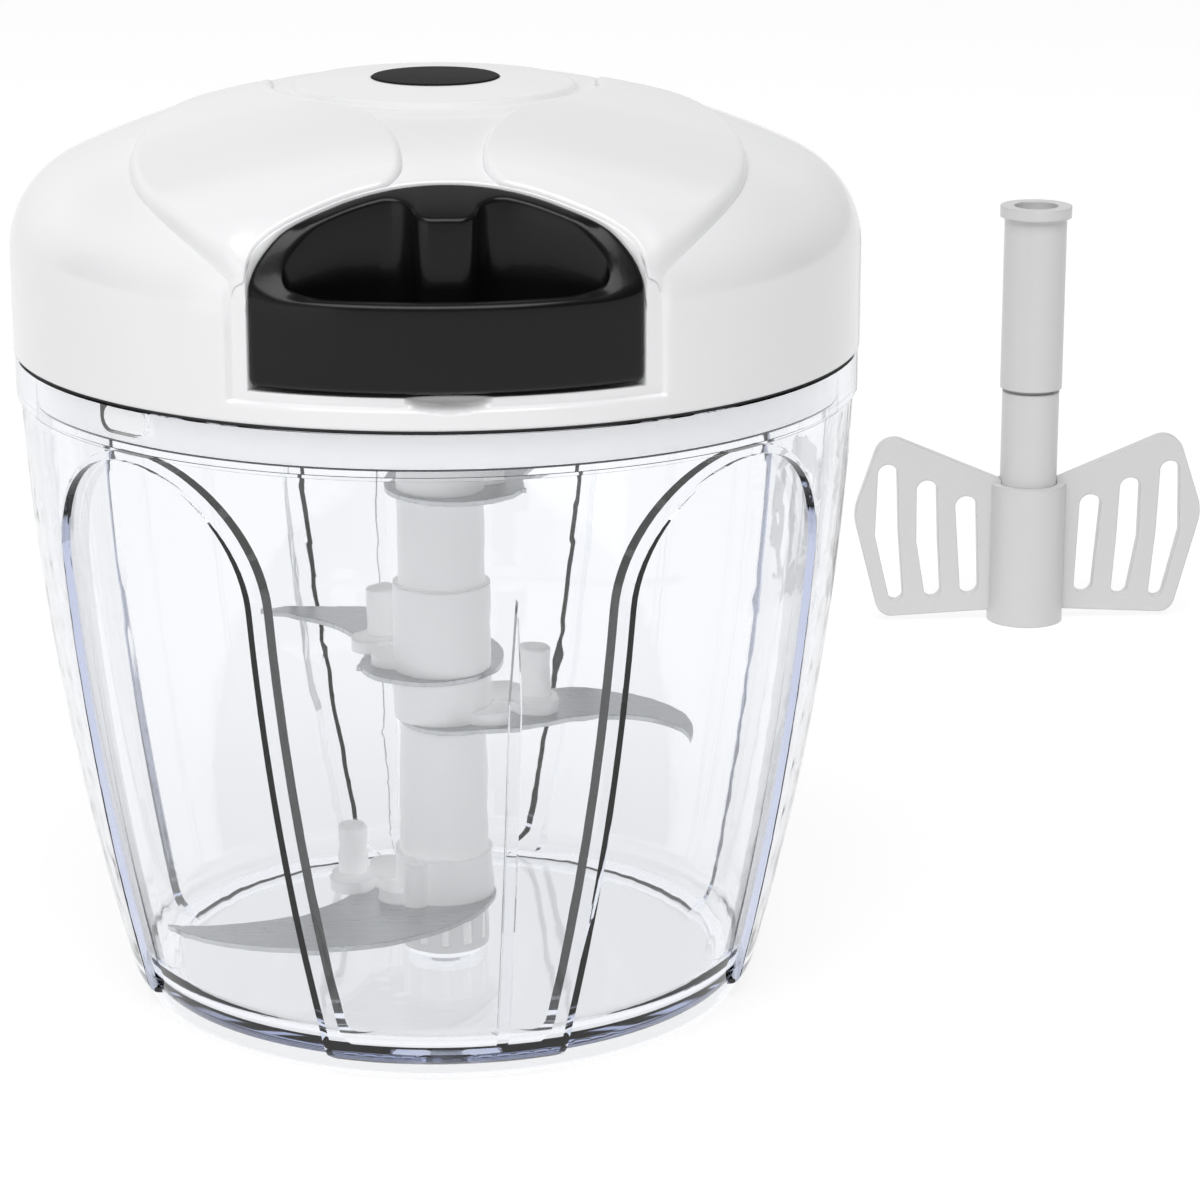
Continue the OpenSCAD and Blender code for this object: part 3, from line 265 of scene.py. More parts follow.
WHITE = {"grain": 300, "tint": 0.01}
finishes = {
    "white_gloss": finish("white_gloss", (0.80, 0.80, 0.81), (0.20, 0.26), grain=60, bump=0.01,
                          tint=0.01, edge=0.6, coat=0.5),
    "white_plastic": finish("white_plastic", (0.86, 0.86, 0.86), (0.30, 0.38), edge=0.4, **WHITE),
    "black_satin": finish("black_satin", (0.005, 0.005, 0.0055), (0.19, 0.25), grain=1200,
                          bump=0.015, edge=0.5, shine=0.19, coat=0.08),
    "black_gloss": finish("black_gloss", (0.013, 0.013, 0.0135), (0.30, 0.40), grain=80,
                          bump=0.005, edge=0.3, shine=0.004),
    "blade_steel": finish("blade_steel", (0.57, 0.58, 0.59), (0.20, 0.40), 1.0, 120, 0.03, 0.2,
                          (1, 14, 1), 0.2),
    "pin_steel": finish("pin_steel", (0.60, 0.60, 0.61), (0.20, 0.34), 1.0, 300, 0.02, 0.08,
                        (1, 1, 8), 0.2),
    "spring_steel": finish("spring_steel", (0.30, 0.31, 0.34), (0.25, 0.40), 1.0, 300, 0.02, 0.1,
                           (1, 1, 6)),
    "brass_fitting": finish("brass_fitting", (0.72, 0.55, 0.25), (0.18, 0.30), 1.0, 400, 0.02,
                            0.08),
    "bearing_plastic": finish("bearing_plastic", (0.74, 0.74, 0.69), (0.35, 0.45), grain=300,
                              edge=0.3),
    "reel_plastic": finish("reel_plastic", (0.58, 0.58, 0.58), (0.36, 0.48), grain=300, edge=0.3),
    "cord": finish("cord", (0.72, 0.72, 0.70), (0.7, 0.85), grain=2500, bump=0.3, tint=0.15),
}
print("finishes:", len(finishes))

# %% [markdown]
# The white pieces are one plastic in three brightnesses. Those in the bowl get a lighter colour
# and a faint glow, both painted light. The mixing paddle is darker, a painted shade. The lid's
# base shows through the clear rim with two dark lines of painted shade, where the lid's edge and
# its own lower edge leave a gap. The lines are drawn by height, since the gaps are narrower than a
# millimetre.

# %% Finishes of single white pieces
# Painted shade: near-black bands stand for the shade in the narrow gaps at the lid's edge.
GAP_SHADE_BANDS, GAP_SHADE_COLOUR = ((103.2, 104.0), (97.5, 97.9)), (0.004, 0.004, 0.005, 1)


def gap_shade_lines(material, bands):
    """Painted shade: dark lines round a piece where the height lies in one of the bands, in
    millimetres. The glow is turned off in the lines.
    """
    tree = material.node_tree
    place = tree.nodes.new("ShaderNodeTexCoord")
    split = tree.nodes.new("ShaderNodeSeparateXYZ")
    tree.links.new(place.outputs["Object"], split.inputs[0])
    mask = 0.0
    for low, high in bands:
        middle, reach = MM * (low + high) / 2, MM * (high - low) / 2
        hit = math_node(tree, "COMPARE", split.outputs["Z"], middle, reach)
        mask = math_node(tree, "MAXIMUM", hit, mask)
    mix = tree.nodes.new("ShaderNodeMix")
    mix.data_type = "RGBA"
    mix.inputs["B"].default_value = GAP_SHADE_COLOUR
    shader = tree.nodes["Principled BSDF"]
    colour, glow = shader.inputs["Base Color"], shader.inputs["Emission Strength"]
    tree.links.new(mask, mix.inputs["Factor"])
    tree.links.new(colour.links[0].from_socket, mix.inputs["A"])
    tree.links.new(mix.outputs["Result"], colour)
    outside = math_node(tree, "SUBTRACT", 1.0, mask)
    tree.links.new(math_node(tree, "MULTIPLY", outside, glow.default_value), glow)
    return material


# Painted light: the white pieces in the bowl and the lid's base get a lighter colour and a glow.
PAINTED_BRIGHT_WHITE = ((0.95, 0.95, 0.95), (0.30, 0.38))
own_finish = {
    "column": finish("column_white_painted_glow", *PAINTED_BRIGHT_WHITE, edge=0.4, glow=0.20, **WHITE),
    "base": gap_shade_lines(finish("base_white_painted_glow", *PAINTED_BRIGHT_WHITE, glow=0.40, **WHITE), GAP_SHADE_BANDS),
    # Painted shade: the paddle's white plastic is given a darker colour than the other white
    # pieces.
    "mixer": finish("mixer_white_painted_shade", (0.64, 0.64, 0.64), (0.28, 0.36), edge=0.4, **WHITE),
}
print("own finishes:", sorted(own_finish))

# %% [markdown]
# The bowl is clear moulded plastic. Its walls are real solids, so light bends in and out of
# them as in the photograph. A weak blue absorption makes only long paths dark, which
# draws the navy lines along the edges and the rim.

# %% Clear plastic
PLASTIC_IOR, DEPTH_COLOUR, DEPTH_DENSITY = 1.5, (0.30, 0.40, 0.72, 1), 14.0


def clear_plastic():
    """Transmitting shader with a faint waviness, and absorption inside the wall."""
    material = finish("clear_plastic", (0.98, 0.985, 0.99), (0.0, 0.03), grain=50, bump=0.004,
                      tint=0.004)
    nodes, links = material.node_tree.nodes, material.node_tree.links
    shader = nodes["Principled BSDF"]
    shader.inputs["Transmission Weight"].default_value = 1.0
    shader.inputs["IOR"].default_value = PLASTIC_IOR
    depth = nodes.new("ShaderNodeVolumeAbsorption")
    depth.inputs["Color"].default_value = DEPTH_COLOUR
    depth.inputs["Density"].default_value = DEPTH_DENSITY
    links.new(depth.outputs["Volume"], nodes["Material Output"].inputs["Volume"])
    return material


finishes["clear_plastic"] = clear_plastic()
print("clear plastic: density", DEPTH_DENSITY)

# %% [markdown]
# ## Dressing the frame
# Each CAD node says which slot it belongs to. The node keeps its shape, and gets the slot's
# finish. Its triangles are smoothed within each CAD face, so that only real edges stay sharp.

# %% Finishes on the CAD nodes
slot_of = {part["node"]: part["material_slot"] for part in frame["record"]["subparts"]}
white_nodes = [name for name, slot in slot_of.items() if slot == "white_plastic"]
paint_of = {name: finishes[slot] for name, slot in slot_of.items()}
paint_of.update((name, own_finish["mixer" if "mixer" in name else "column"])
                for name in white_nodes)
paint_of["lid_base"] = own_finish["base"]
for name, node in frame["nodes"].items():
    node.data.materials.clear()
    node.data.materials.append(paint_of[name])
    node.data.polygons.foreach_set("use_smooth", np.ones(len(node.data.polygons), bool))
print("dressed:", len(slot_of), "nodes")

# %% [markdown]
# ## Surfaces from grids
# Every new piece is a grid of points: one parameter runs round the piece, the other runs from
# its first edge to its last. One helper turns such a grid into a mesh, hangs it on a body of
# the frame and gives it its finish.

# %% Grid helper
JOIN_DISTANCE = 1e-7


def grid_piece(name, points, body, slot, first_pole=False, last_pole=False, crease=None):
    """Closed rows of points, array (rows, count, 3) in millimetres, joined row to row by quads.
    A pole closes the first or last row with one point at the row's mean. Points that coincide
    are joined, so a row folded onto a line closes the mesh too. Edges over crease degrees stay
    sharp."""
    rows, count = points.shape[:2]
    index = np.arange(rows * count).reshape(rows, count)
    ahead = np.roll(index, -1, axis=1)
    quads = np.stack([index[:-1], ahead[:-1], ahead[1:], index[1:]], axis=-1).reshape(-1, 4)
    faces = quads.tolist()
    vertices = [points.reshape(-1, 3)]
    for wanted, row, turned in ((first_pole, 0, True), (last_pole, rows - 1, False)):
        if wanted:
            pole = sum(len(block) for block in vertices)
            vertices.append(points[row].mean(axis=0, keepdims=True))
            fan = np.stack([index[row], ahead[row], np.full(count, pole)], axis=-1)
            faces += (fan[:, ::-1] if turned else fan).tolist()
    mesh = bpy.data.meshes.new(name)
    mesh.from_pydata((MM * np.concatenate(vertices)).tolist(), [], faces)
    joined = bmesh.new()
    joined.from_mesh(mesh)
    bmesh.ops.remove_doubles(joined, verts=joined.verts, dist=JOIN_DISTANCE)
    joined.to_mesh(mesh)
    joined.free()
    mesh.polygons.foreach_set("use_smooth", np.ones(len(mesh.polygons), bool))
    if crease:
        mesh.set_sharp_from_angle(angle=math.radians(crease))
    mesh.materials.append(finishes[slot])
    piece = bpy.data.objects.new(name, mesh)
    bpy.context.scene.collection.objects.link(piece)
    if body:
        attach(piece, body)
    print(name, "faces:", len(mesh.polygons))
    return piece


# %% [markdown]
# ## Plan outlines as distances
# The lid's petals and the handle are drawn in plan with arcs and lines. A distance field says
# how far a point is inside such an outline, so a rounded edge is only a function of distance.
# Where each ray from a centre leaves the outline is found by halving an interval, for all
# rays at once.

# %% Distance helpers
ARCH_C, ARCH_FLANK = (0.0, -84.0), math.radians(25)
HALVINGS = 40


def circle_gap(plan, centre, radius):
    """Distance of plan points outside a circle, negative inside it."""
    return np.hypot(plan[..., 0] - centre[0], plan[..., 1] - centre[1]) - radius


def arch_gap(plan, radius, half, corner):
    """Distance outside the arch that the handle has in plan, negative inside it: an arc about
    ARCH_C runs into straight flanks, and round corners lead to the sides at x = -half and half."""
    flank = np.array([math.sin(ARCH_FLANK), math.cos(ARCH_FLANK)])
    point = np.stack([np.abs(plan[..., 0]), plan[..., 1] - ARCH_C[1]], axis=-1)
    on_arc = point[..., 0] * flank[1] < point[..., 1] * flank[0]
    back = np.where(on_arc, np.hypot(point[..., 0], point[..., 1]), point @ flank) - radius
    corner_x = half - corner
    turn = point - np.array([corner_x, (radius - corner - flank[0] * corner_x) / flank[1]])
    in_corner = (turn[..., 1] > 0) & (turn[..., 0] * flank[1] > turn[..., 1] * flank[0])
    plain = np.maximum(back, point[..., 0] - half)
    return np.where(in_corner, np.hypot(turn[..., 0], turn[..., 1]) - corner, plain)


def round_meet(first, second, radius):
    """Distance outside what two areas share, with a round of the given radius where their edges
    meet."""
    corner = np.hypot(np.maximum(first + radius, 0), np.maximum(second + radius, 0))
    return np.minimum(np.maximum(first, second), -radius) + corner


def leave_outline(inside, origins, rays, reach):
    """Lengths at which rays from their origins leave an outline: halving, on all rays at once,
    the interval between a length inside and a length outside. inside(plan) is positive in it."""
    near, far = np.zeros(len(rays)), np.full(len(rays), reach)
    for _ in range(HALVINGS):
        middle = (near + far) / 2
        held = inside(origins + middle[:, None] * rays) > 0
        near, far = np.where(held, middle, near), np.where(held, far, middle)
    return near


def spread_rays(angle):
    """Unit vectors in plan at the given angles."""
    return np.stack([np.cos(angle), np.sin(angle)], axis=-1)


print("arch centre:", ARCH_C)

# %% [markdown]
# ## Lid cover
# The lid is a moulded dome that runs into a round shoulder, with a low crown in the middle and
# a pocket in front for the handle. It could be a turned profile with a hole cut by a Boolean, but
# a cut leaves ragged triangles along a soft edge. Here every ray from the axis carries the
# whole profile: over the crown and dome to the pocket's edge, down its wall, along its floor and
# down the flank, then back inside the shell. Beside the pocket the wall and flank are one.

# %% Lid profile
LID_R, DOME_R, DOME_Z = 65.1, 134.7, 9.93
SHOULDER_R, SHOULDER_X, SHOULDER_Z = 14.4, 50.7, 119.0
CROWN_R, CROWN_TOP, CROWN_SLOPE, CAP_R, CAP_LOW = 21.2, 143.95, 0.07, 9.8, 142.5
CAP_SEAT, CROWN_IN, CROWN_OUT = 0.05, 0.5, 1.0
RING_DEPTH, RING_IN, RING_END = 0.6, 1.5, 28.5
LID_LOW, LID_WALL, POCKET_FLOOR, POCKET_WALL = 103.9, 2.4, 108.5, 2.0
POCKET_ARCH, POCKET_HALF, POCKET_CORNER = 36.55, 28.4, 4.5


def ease(value, start, end):
    """Smooth step from 0 at start to 1 at end."""
    part = np.clip((value - start) / (end - start), 0, 1)
    return part * part * (3 - 2 * part)


def lid_height(radius, grow=0.0):
    """Height of the lid's skin over a plan radius, moved out by grow: a dome arc that runs into
    the shoulder's arc where both have the same slope."""
    meet = SHOULDER_X * (DOME_R + grow) / (DOME_R - SHOULDER_R)
    dome = DOME_Z + np.sqrt((DOME_R + grow) ** 2 - radius ** 2)
    drop = (SHOULDER_R + grow) ** 2 - (radius - SHOULDER_X) ** 2
    return np.where(radius < meet, dome, SHOULDER_Z + np.sqrt(np.maximum(drop, 0.0)))


def crown_height(radius):
    """Height with the crown: a very flat cone round the cap's seat that eases down to a shallow
    ring groove, from which the dome rises again."""
    cone = np.where(radius < CAP_R, CAP_LOW - CAP_SEAT, CROWN_TOP - CROWN_SLOPE * (radius - CAP_R))
    ring = lid_height(radius) - RING_DEPTH * (1 - ease(radius, CROWN_R + RING_IN, RING_END))
    return ring + (cone - ring) * (1 - ease(radius, CROWN_R - CROWN_IN, CROWN_R + CROWN_OUT))


def pocket_gap(plan):
    """Distance outside the handle's pocket."""
    return arch_gap(plan, POCKET_ARCH, POCKET_HALF, POCKET_CORNER)


print("dome at the axis:", round(float(lid_height(np.array(0.0))), 2), "mm")


# %% [markdown]
# Around the pocket the flank has a shallow frame, 3 mm wide, and under the handle a small notch
# for a finger nail. Both are taken off the radius of the flank where their mask says so.

# %% Frame and notch
FRAME_R, FRAME_HALF, FRAME_LOW, FRAME_SOFT = LID_R - 0.8, 30.9, 106.9, 0.3
NOTCH_DEPTH, NOTCH_HALF, NOTCH_Z, NOTCH_TALL, NOTCH_SKIN = 1.7, 6.2, 108.6, 2.2, 0.2


def framed(points):
    """Points of the flank (x, y, z) drawn in to the frame's radius and into the notch, which is
    part of an ellipsoid: its depth times sqrt(1 - u^2 - v^2), where u and v run from the notch's
    middle to its edge, across and up."""
    x, z = np.abs(points[..., 0]), points[..., 2]
    radius = np.hypot(points[..., 0], points[..., 1])
    ahead = points[..., 1] < 0
    front = ahead * ease(-x, -FRAME_HALF - FRAME_SOFT, -FRAME_HALF + FRAME_SOFT)
    mask = front * ease(z, FRAME_LOW - FRAME_SOFT, FRAME_LOW + FRAME_SOFT)
    left = 1 - (x / NOTCH_HALF) ** 2 - ((z - NOTCH_Z) / NOTCH_TALL) ** 2
    notch = ahead * NOTCH_DEPTH * np.sqrt(np.clip(left, 0, 1)) * (radius > FRAME_R - NOTCH_SKIN)
    new = radius - np.maximum(radius - FRAME_R, 0) * mask - notch
    scale = new / np.maximum(radius, 1e-6)
    return np.concatenate([points[..., :2] * scale[..., None], points[..., 2:]], axis=-1)


print("frame:", 2 * FRAME_HALF, "mm wide")

# %% [markdown]
# The rays stand close together where the pocket's sides run along a ray, or their edge would be
# ragged. Along a ray the points are spread evenly over the length of the curved profile.

# %% Rays of the lid cover
RAY_COUNT, CORNER_TURN, CORNER_RAYS, RAY_REACH = 720, (24.0, 26.6), 64, 80.0
EDGE_ROUND, EDGE_RUN = 0.5, 2.0

even = np.linspace(-math.pi / 2, 1.5 * math.pi, RAY_COUNT, endpoint=False)
corner_turn = np.radians(np.linspace(*CORNER_TURN, CORNER_RAYS))
lid_turn = np.unique(np.concatenate(
    [even, -math.pi / 2 + corner_turn, 1.5 * math.pi - corner_turn]))
lid_way = spread_rays(lid_turn)
edge_r = leave_outline(lambda plan: np.minimum(pocket_gap(plan), -circle_gap(plan, (0, 0), LID_R)),
                       np.zeros(2), lid_way, RAY_REACH)

dome_end = SHOULDER_X * DOME_R / (DOME_R - SHOULDER_R)
bend = np.linspace(math.acos((dome_end - SHOULDER_X) / SHOULDER_R), 0, 200)
curve_r = np.concatenate([np.linspace(0, dome_end, 300)[:-1],
                          SHOULDER_X + SHOULDER_R * np.cos(bend)])
curve_z = lid_height(curve_r)
curve_l = np.concatenate([[0], np.cumsum(np.hypot(np.diff(curve_r), np.diff(curve_z)))])
print("rays:", len(lid_turn), "profile:", round(float(curve_l[-1]), 1), "mm")

# %% [markdown]
# The rows go from the crown outwards and down: crown, dome, the round at the pocket's edge, the
# pocket's wall and floor, the flank, and then back inside the shell.

# %% Rows of the lid cover
lip = EDGE_ROUND * np.clip((LID_R - edge_r) / EDGE_RUN, 0, 1)
start_l = np.interp(30.0, curve_r, curve_l)
end_l = np.interp(edge_r - lip, curve_r, curve_l)
along = start_l + np.linspace(0, 1, 40)[:, None] * (end_l - start_l)
crown_r = np.concatenate([[2.0, 6.0, CAP_R - CAP_SEAT, CAP_R + CAP_SEAT, 10.4, 13.0, 17.0],
                          np.linspace(20.0, 22.8, 15), [24.0, 26.0, 28.0]])[:, None] + 0 * edge_r
rows = [np.stack([crown_r, crown_height(crown_r)], axis=-1),
        np.stack([np.interp(along, curve_l, curve) for curve in (curve_r, curve_z)], axis=-1)]
edge_z = rows[1][-1, :, 1]
turn = np.radians(np.linspace(15, 90, 6))[:, None]
rows.append(np.stack([edge_r - lip + lip * np.sin(turn),
                      edge_z - lip * (1 - np.cos(turn))], axis=-1))
wall = np.linspace(0, 1, 13)[1:, None]
wall_top = edge_z - lip
rows.append(np.stack([edge_r + 0 * wall, wall_top + wall * (POCKET_FLOOR - wall_top)], axis=-1))
floor = np.linspace(0, 1, 5)[1:, None]
rows.append(np.stack([edge_r + floor * (LID_R - edge_r),
                      POCKET_FLOOR + 0 * (floor + edge_r)], axis=-1))
flank_z = np.concatenate([np.linspace(POCKET_FLOOR, 105.4, 15)[1:],
                          [LID_LOW + 0.4, LID_LOW + 0.15]])[:, None]
rows.append(np.stack([LID_R + 0 * (flank_z + edge_r), flank_z + 0 * edge_r], axis=-1))
under = POCKET_FLOOR - POCKET_WALL
wall_r = LID_R - LID_WALL + 0 * edge_r
inner_r = np.minimum(wall_r, edge_r - POCKET_WALL)
inside = [(LID_R - 0.3 + 0 * edge_r, LID_LOW), (wall_r, LID_LOW), (wall_r, under), (inner_r, under)]
inside += [(inner_r * part, lid_height(inner_r * part, -LID_WALL))
           for part in (1.0, 0.97, 0.9, 0.75, 0.5, 0.25)]
rows.append(np.stack([np.stack([r, z + 0 * edge_r], axis=-1) for r, z in inside]))
rows = np.concatenate(rows)
lid_points = framed(np.concatenate([rows[..., :1] * lid_way, rows[..., 1:]], axis=-1))
lid_skin = grid_piece("lid_shell", lid_points[::-1], "lid", "white_gloss", True, True, crease=40)
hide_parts("lid_cover")

# %% [markdown]
# ## Petals of the lid
# Two raised petals spread from the handle towards the crown. Their edges are soft and catch a
# line of light. Each petal is a thin skin laid over the lid. Its height rises along a quarter
# round at the edge, and its lower edge lies in the lid.

# %% Petal outline
FIELD_C, FIELD_R, FIELD_BACK = (0.0, -23.0), 45.0, 3.0
BACK_X, BACK_Y, BACK_R = 31.73, -6.0, 9.0
PETAL_RING, LOBE_X, LOBE_Y, LOBE_R = 25.0, 36.92, -42.0, 30.92
FLARE, FLARE_Y, FLARE_RUN, FLARE_MOST, FLARE_END = 3.2, -43.5, 7.0, 1.2, (12.0, 18.0)


def petal_edge(plan):
    """Distance inside a petal's own edge: inside the round field with its rounded back corners,
    outside the ring round the crown, and inside the lobe that draws the neck in, which flares
    at the handle."""
    x, y = np.abs(plan[..., 0]), plan[..., 1]
    corner = np.stack([x - BACK_X, y - BACK_Y], axis=-1)
    turn = np.arctan2(corner[..., 1], corner[..., 0])
    in_corner = (turn > math.atan2(BACK_Y - FIELD_C[1], BACK_X)) & (turn < math.pi / 2)
    field = np.maximum(circle_gap(plan, FIELD_C, FIELD_R), y - FIELD_BACK)
    field = np.where(in_corner, np.hypot(corner[..., 0], corner[..., 1]) - BACK_R, field)
    ring = np.hypot(x, y) - PETAL_RING
    flare = FLARE * np.clip((FLARE_Y - y) / FLARE_RUN, 0, FLARE_MOST) ** 2
    lobe = LOBE_R - np.hypot(x - LOBE_X, y - LOBE_Y) - flare * (1 - ease(x, *FLARE_END))
    low = LOBE_X * y - LOBE_Y * x < 0
    return np.minimum(-field, np.where(low, lobe, ring))


print("petal field:", 2 * FIELD_R, "mm wide")

# %% [markdown]
# The skin has many rows close to its edge, where it bends, and few in the middle.

# %% Petal skins
PETAL_MIDDLE, PETAL_REACH, PETAL_RIM = (31.0, -27.0), 60.0, 64.4
POCKET_GAP, POCKET_FADE, POCKET_DROP = 0.1, 4.0, 0.4
SKIN_SUNK, SKIRT_DROP, SWELL_FROM, SWELL_RUN = 0.2, 1.2, 24.0, 20.0


def petal_skin(name, side, grow=0.3, width=1.2, rise=1.2, swell=0.6):
    """Skin over one petal. Rows lie at given distances inside the outline, and then at shares of
    what is left, along rays from the petal's middle. Height over the lid: a quarter round of the
    given width at the edge, a little more towards the far flank, less at the handle's pocket."""
    def pocket(plan):
        return pocket_gap(plan) - POCKET_GAP

    def inside(plan):
        rim = PETAL_RIM - np.hypot(plan[..., 0], plan[..., 1])
        return np.minimum(np.minimum(petal_edge(plan) + grow, pocket(plan)), rim)

    middle = np.array(PETAL_MIDDLE)
    rays = spread_rays(np.linspace(0, 2 * math.pi, RAY_COUNT, endpoint=False))
    length = leave_outline(inside, middle, rays, PETAL_REACH)
    insets = np.array([0, .04, .1, .2, .32, .46, .62, .8, 1, 1.2, 1.45, 1.9, 2.6])
    near_edge = length[None] - insets[:, None]
    shares = np.linspace(1, 0.02, 24)[1:]
    along = np.concatenate([near_edge, shares[:, None] * near_edge[-1:]])
    plan = middle + along[..., None] * rays[None]
    edge = np.clip((petal_edge(plan) + grow) / width, 0, 1)
    near_pocket = 1 - np.clip(pocket(plan) / POCKET_FADE, 0, 1)
    flank = np.clip((plan[..., 0] - SWELL_FROM) / SWELL_RUN, 0, 1)
    top = rise + swell * flank ** 2 - POCKET_DROP * near_pocket ** 2 * (3 - 2 * near_pocket)
    height = (top + SKIN_SUNK) * np.sqrt(1 - (1 - edge) ** 2) - SKIN_SUNK
    z = lid_height(np.hypot(plan[..., 0], plan[..., 1]), height)
    points = np.concatenate([plan * [side, 1], z[..., None]], axis=-1)
    skirt = points[:1] - [0.0, 0.0, SKIRT_DROP]
    points = np.concatenate([skirt, points])
    return grid_piece(name, points[:, ::side], "lid", "white_gloss", last_pole=True)


for side, label in ((1, "right"), (-1, "left")):
    petal_skin(f"petal_skin_{label}", side)

# %% [markdown]
# ## Crown cap
# A black disc closes the axle's hole in the crown. It is turned on a lathe in the model too: a
# small edge round, then a very flat dome that gives the soft mirror image on its top.

# %% Turned pieces and crown cap
def turned(name, profile, body, slot, count=192, **poles):
    """Profile of (radius, height) points carried round the Z axis."""
    angle = np.linspace(0, 2 * math.pi, count, endpoint=False)
    radius, height = np.array(profile, float).T
    points = np.stack([
        radius[:, None] * np.cos(angle), radius[:, None] * np.sin(angle),
        np.broadcast_to(height[:, None], (len(radius), count))], axis=-1)
    return grid_piece(name, points, body, slot, **poles)


def arc(centre, radius, start, end, count=10):
    """Points on an arc between two angles in degrees."""
    angle = np.radians(np.linspace(start, end, count))
    return [(centre[0] + radius * c, centre[1] + radius * s)
            for c, s in zip(np.cos(angle), np.sin(angle))]


CAP_EDGE, CAP_DOME, CAP_PROUD = 0.35, 0.1, 0.2
cap_flat = CAP_R - CAP_EDGE
cap_radius = np.linspace(cap_flat, 0.4, 12)[1:]
cap_rim_z = CROWN_TOP + CAP_PROUD - CAP_EDGE
cap_dome = cap_rim_z + CAP_EDGE + CAP_DOME * (1 - (cap_radius / cap_flat) ** 2)
cap_profile = [(CAP_R, CAP_LOW)] + arc((cap_flat, cap_rim_z), CAP_EDGE, 0, 90, 7)
cap_profile += list(zip(cap_radius, cap_dome))
cap = turned("cap_disc", cap_profile, "lid", "black_gloss", last_pole=True)
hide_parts("crown_cap")

# %% [markdown]
# ## Pull handle
# The handle is a black moulding with a deep finger hollow and a boss that holds the cord's end.
# All its edges are rounded, and the light runs along them. It is lofted: outlines in plan,
# moved in or out by the edge radius, are stacked from the underside over the rim down to
# the floor of the hollow. The top is flush with the lid at the back and sides, and falls round
# the front corners to a low lip. The front face is a little rounder than the lid.

# %% Outlines of the handle
HANDLE_LOW, HANDLE_FRONT, LIP_SLOPE = 109.0, 121.6, 0.3
LIP_BACK, LIP_FRONT, BOSS_KEEP = 54.6, 61.2, 3.0
FRONT_C, FRONT_R = (0.0, -7.1), 58.0
OUTER_ARCH, OUTER_HALF, OUTER_CORNER, OUTER_MEET = 36.2, 28.3, 4.0, 0.8
HOLLOW_ARCH, HOLLOW_HALF, HOLLOW_CORNER, HOLLOW_MEET = 33.9, 26.3, 3.0, 2.2
FRONT_WALL, HOLLOW_FLOOR = 1.7, HANDLE_LOW + 2.5
BOSS_Y, BOSS_R, BOSS_FLAT, BOSS_WIDEN, BOSS_FILLET = -53.6, 3.0, 1.6, 0.35, 4.0
BOSS_SIDE = (8.0, 17.0)
UNDER_EDGE, OUTER_EDGE, INNER_EDGE, FLOOR_EDGE = 1.2, 0.7, 0.5, 1.6


def handle_outer(plan):
    """Distance inside the handle's outline: an arch at the back and a rounder face in front."""
    arch = arch_gap(plan, OUTER_ARCH, OUTER_HALF, OUTER_CORNER)
    return -round_meet(arch, circle_gap(plan, FRONT_C, FRONT_R), OUTER_MEET)


def handle_hollow(plan):
    """Distance inside the finger hollow. The boss is round in front and widens to the back wall:
    in a square of the size BOSS_FILLET at the corner the distance is measured from a round."""
    arch = arch_gap(plan, HOLLOW_ARCH, HOLLOW_HALF, HOLLOW_CORNER)
    wall = -round_meet(arch, circle_gap(plan, FRONT_C, FRONT_R - FRONT_WALL), HOLLOW_MEET)
    x, behind = np.abs(plan[..., 0]), plan[..., 1] - BOSS_Y
    widen = BOSS_FLAT + BOSS_WIDEN * np.maximum(behind, 0)
    boss = np.hypot(np.maximum(x - widen, 0), np.minimum(behind, 0)) - BOSS_R
    corner = np.hypot(np.maximum(BOSS_FILLET - wall, 0), np.maximum(BOSS_FILLET - boss, 0))
    return np.maximum(BOSS_FILLET, np.minimum(wall, boss)) - corner


def handle_top(plan):
    """Height of the handle's top: the lid's skin at the back and sides, which eases towards the
    front into a lip that is nearly level. In the middle the fall starts later, so that the boss
    stays high."""
    radius = np.hypot(plan[..., 0], plan[..., 1])
    lip = HANDLE_FRONT + (LID_R - radius) * LIP_SLOPE
    start = LIP_BACK + BOSS_KEEP * (1 - ease(np.abs(plan[..., 0]), *BOSS_SIDE))
    front = ease(-plan[..., 1], start, LIP_FRONT)
    return (1 - front) * np.maximum(lid_height(radius), lip) + front * lip


print("handle:", 2 * OUTER_HALF, "mm wide")

# %% [markdown]
# The rays that look for an outline start on a curved spine along the handle's length, straight to
# the back and to the front, and in a fan at each end. So every row of the loft has its points
# at the same places along the handle, also behind the boss.

# %% Handle loft
SPINE_R, SPINE_END, SPINE_REACH = 61.2, 20.5, 40.0
WALL_PARTS = (0.25, 0.5, 0.75)


def handle_rays(straight=300, fan=60):
    """Origins and directions round the spine: to the back from right to left, the left fan, to
    the front, and the right fan."""
    run = np.linspace(SPINE_END, -SPINE_END, straight)
    x = np.concatenate([run, np.full(fan, -SPINE_END), -run, np.full(fan, SPINE_END)])
    turn = np.linspace(0, math.pi, fan + 2)[1:-1]
    back, front = np.full(straight, math.pi / 2), np.full(straight, 1.5 * math.pi)
    angle = np.concatenate([back, math.pi / 2 + turn, front, 1.5 * math.pi + turn])
    return np.stack([x, -np.sqrt(SPINE_R ** 2 - x ** 2)], axis=-1), spread_rays(angle)


spine, handle_way = handle_rays()


def handle_row(outline, inset, height):
    """One row of the loft: the outline moved in by inset, at a height given as a function."""
    length = leave_outline(lambda plan: outline(plan) - inset, spine, handle_way, SPINE_REACH)
    plan = spine + length[:, None] * handle_way
    return np.concatenate([plan, np.broadcast_to(height(plan), length.shape)[:, None]], axis=-1)


def spine_row(height):
    """The row that closes the loft: every point on the spine, at one height."""
    return np.concatenate([spine, np.full((len(spine), 1), height)], axis=-1)


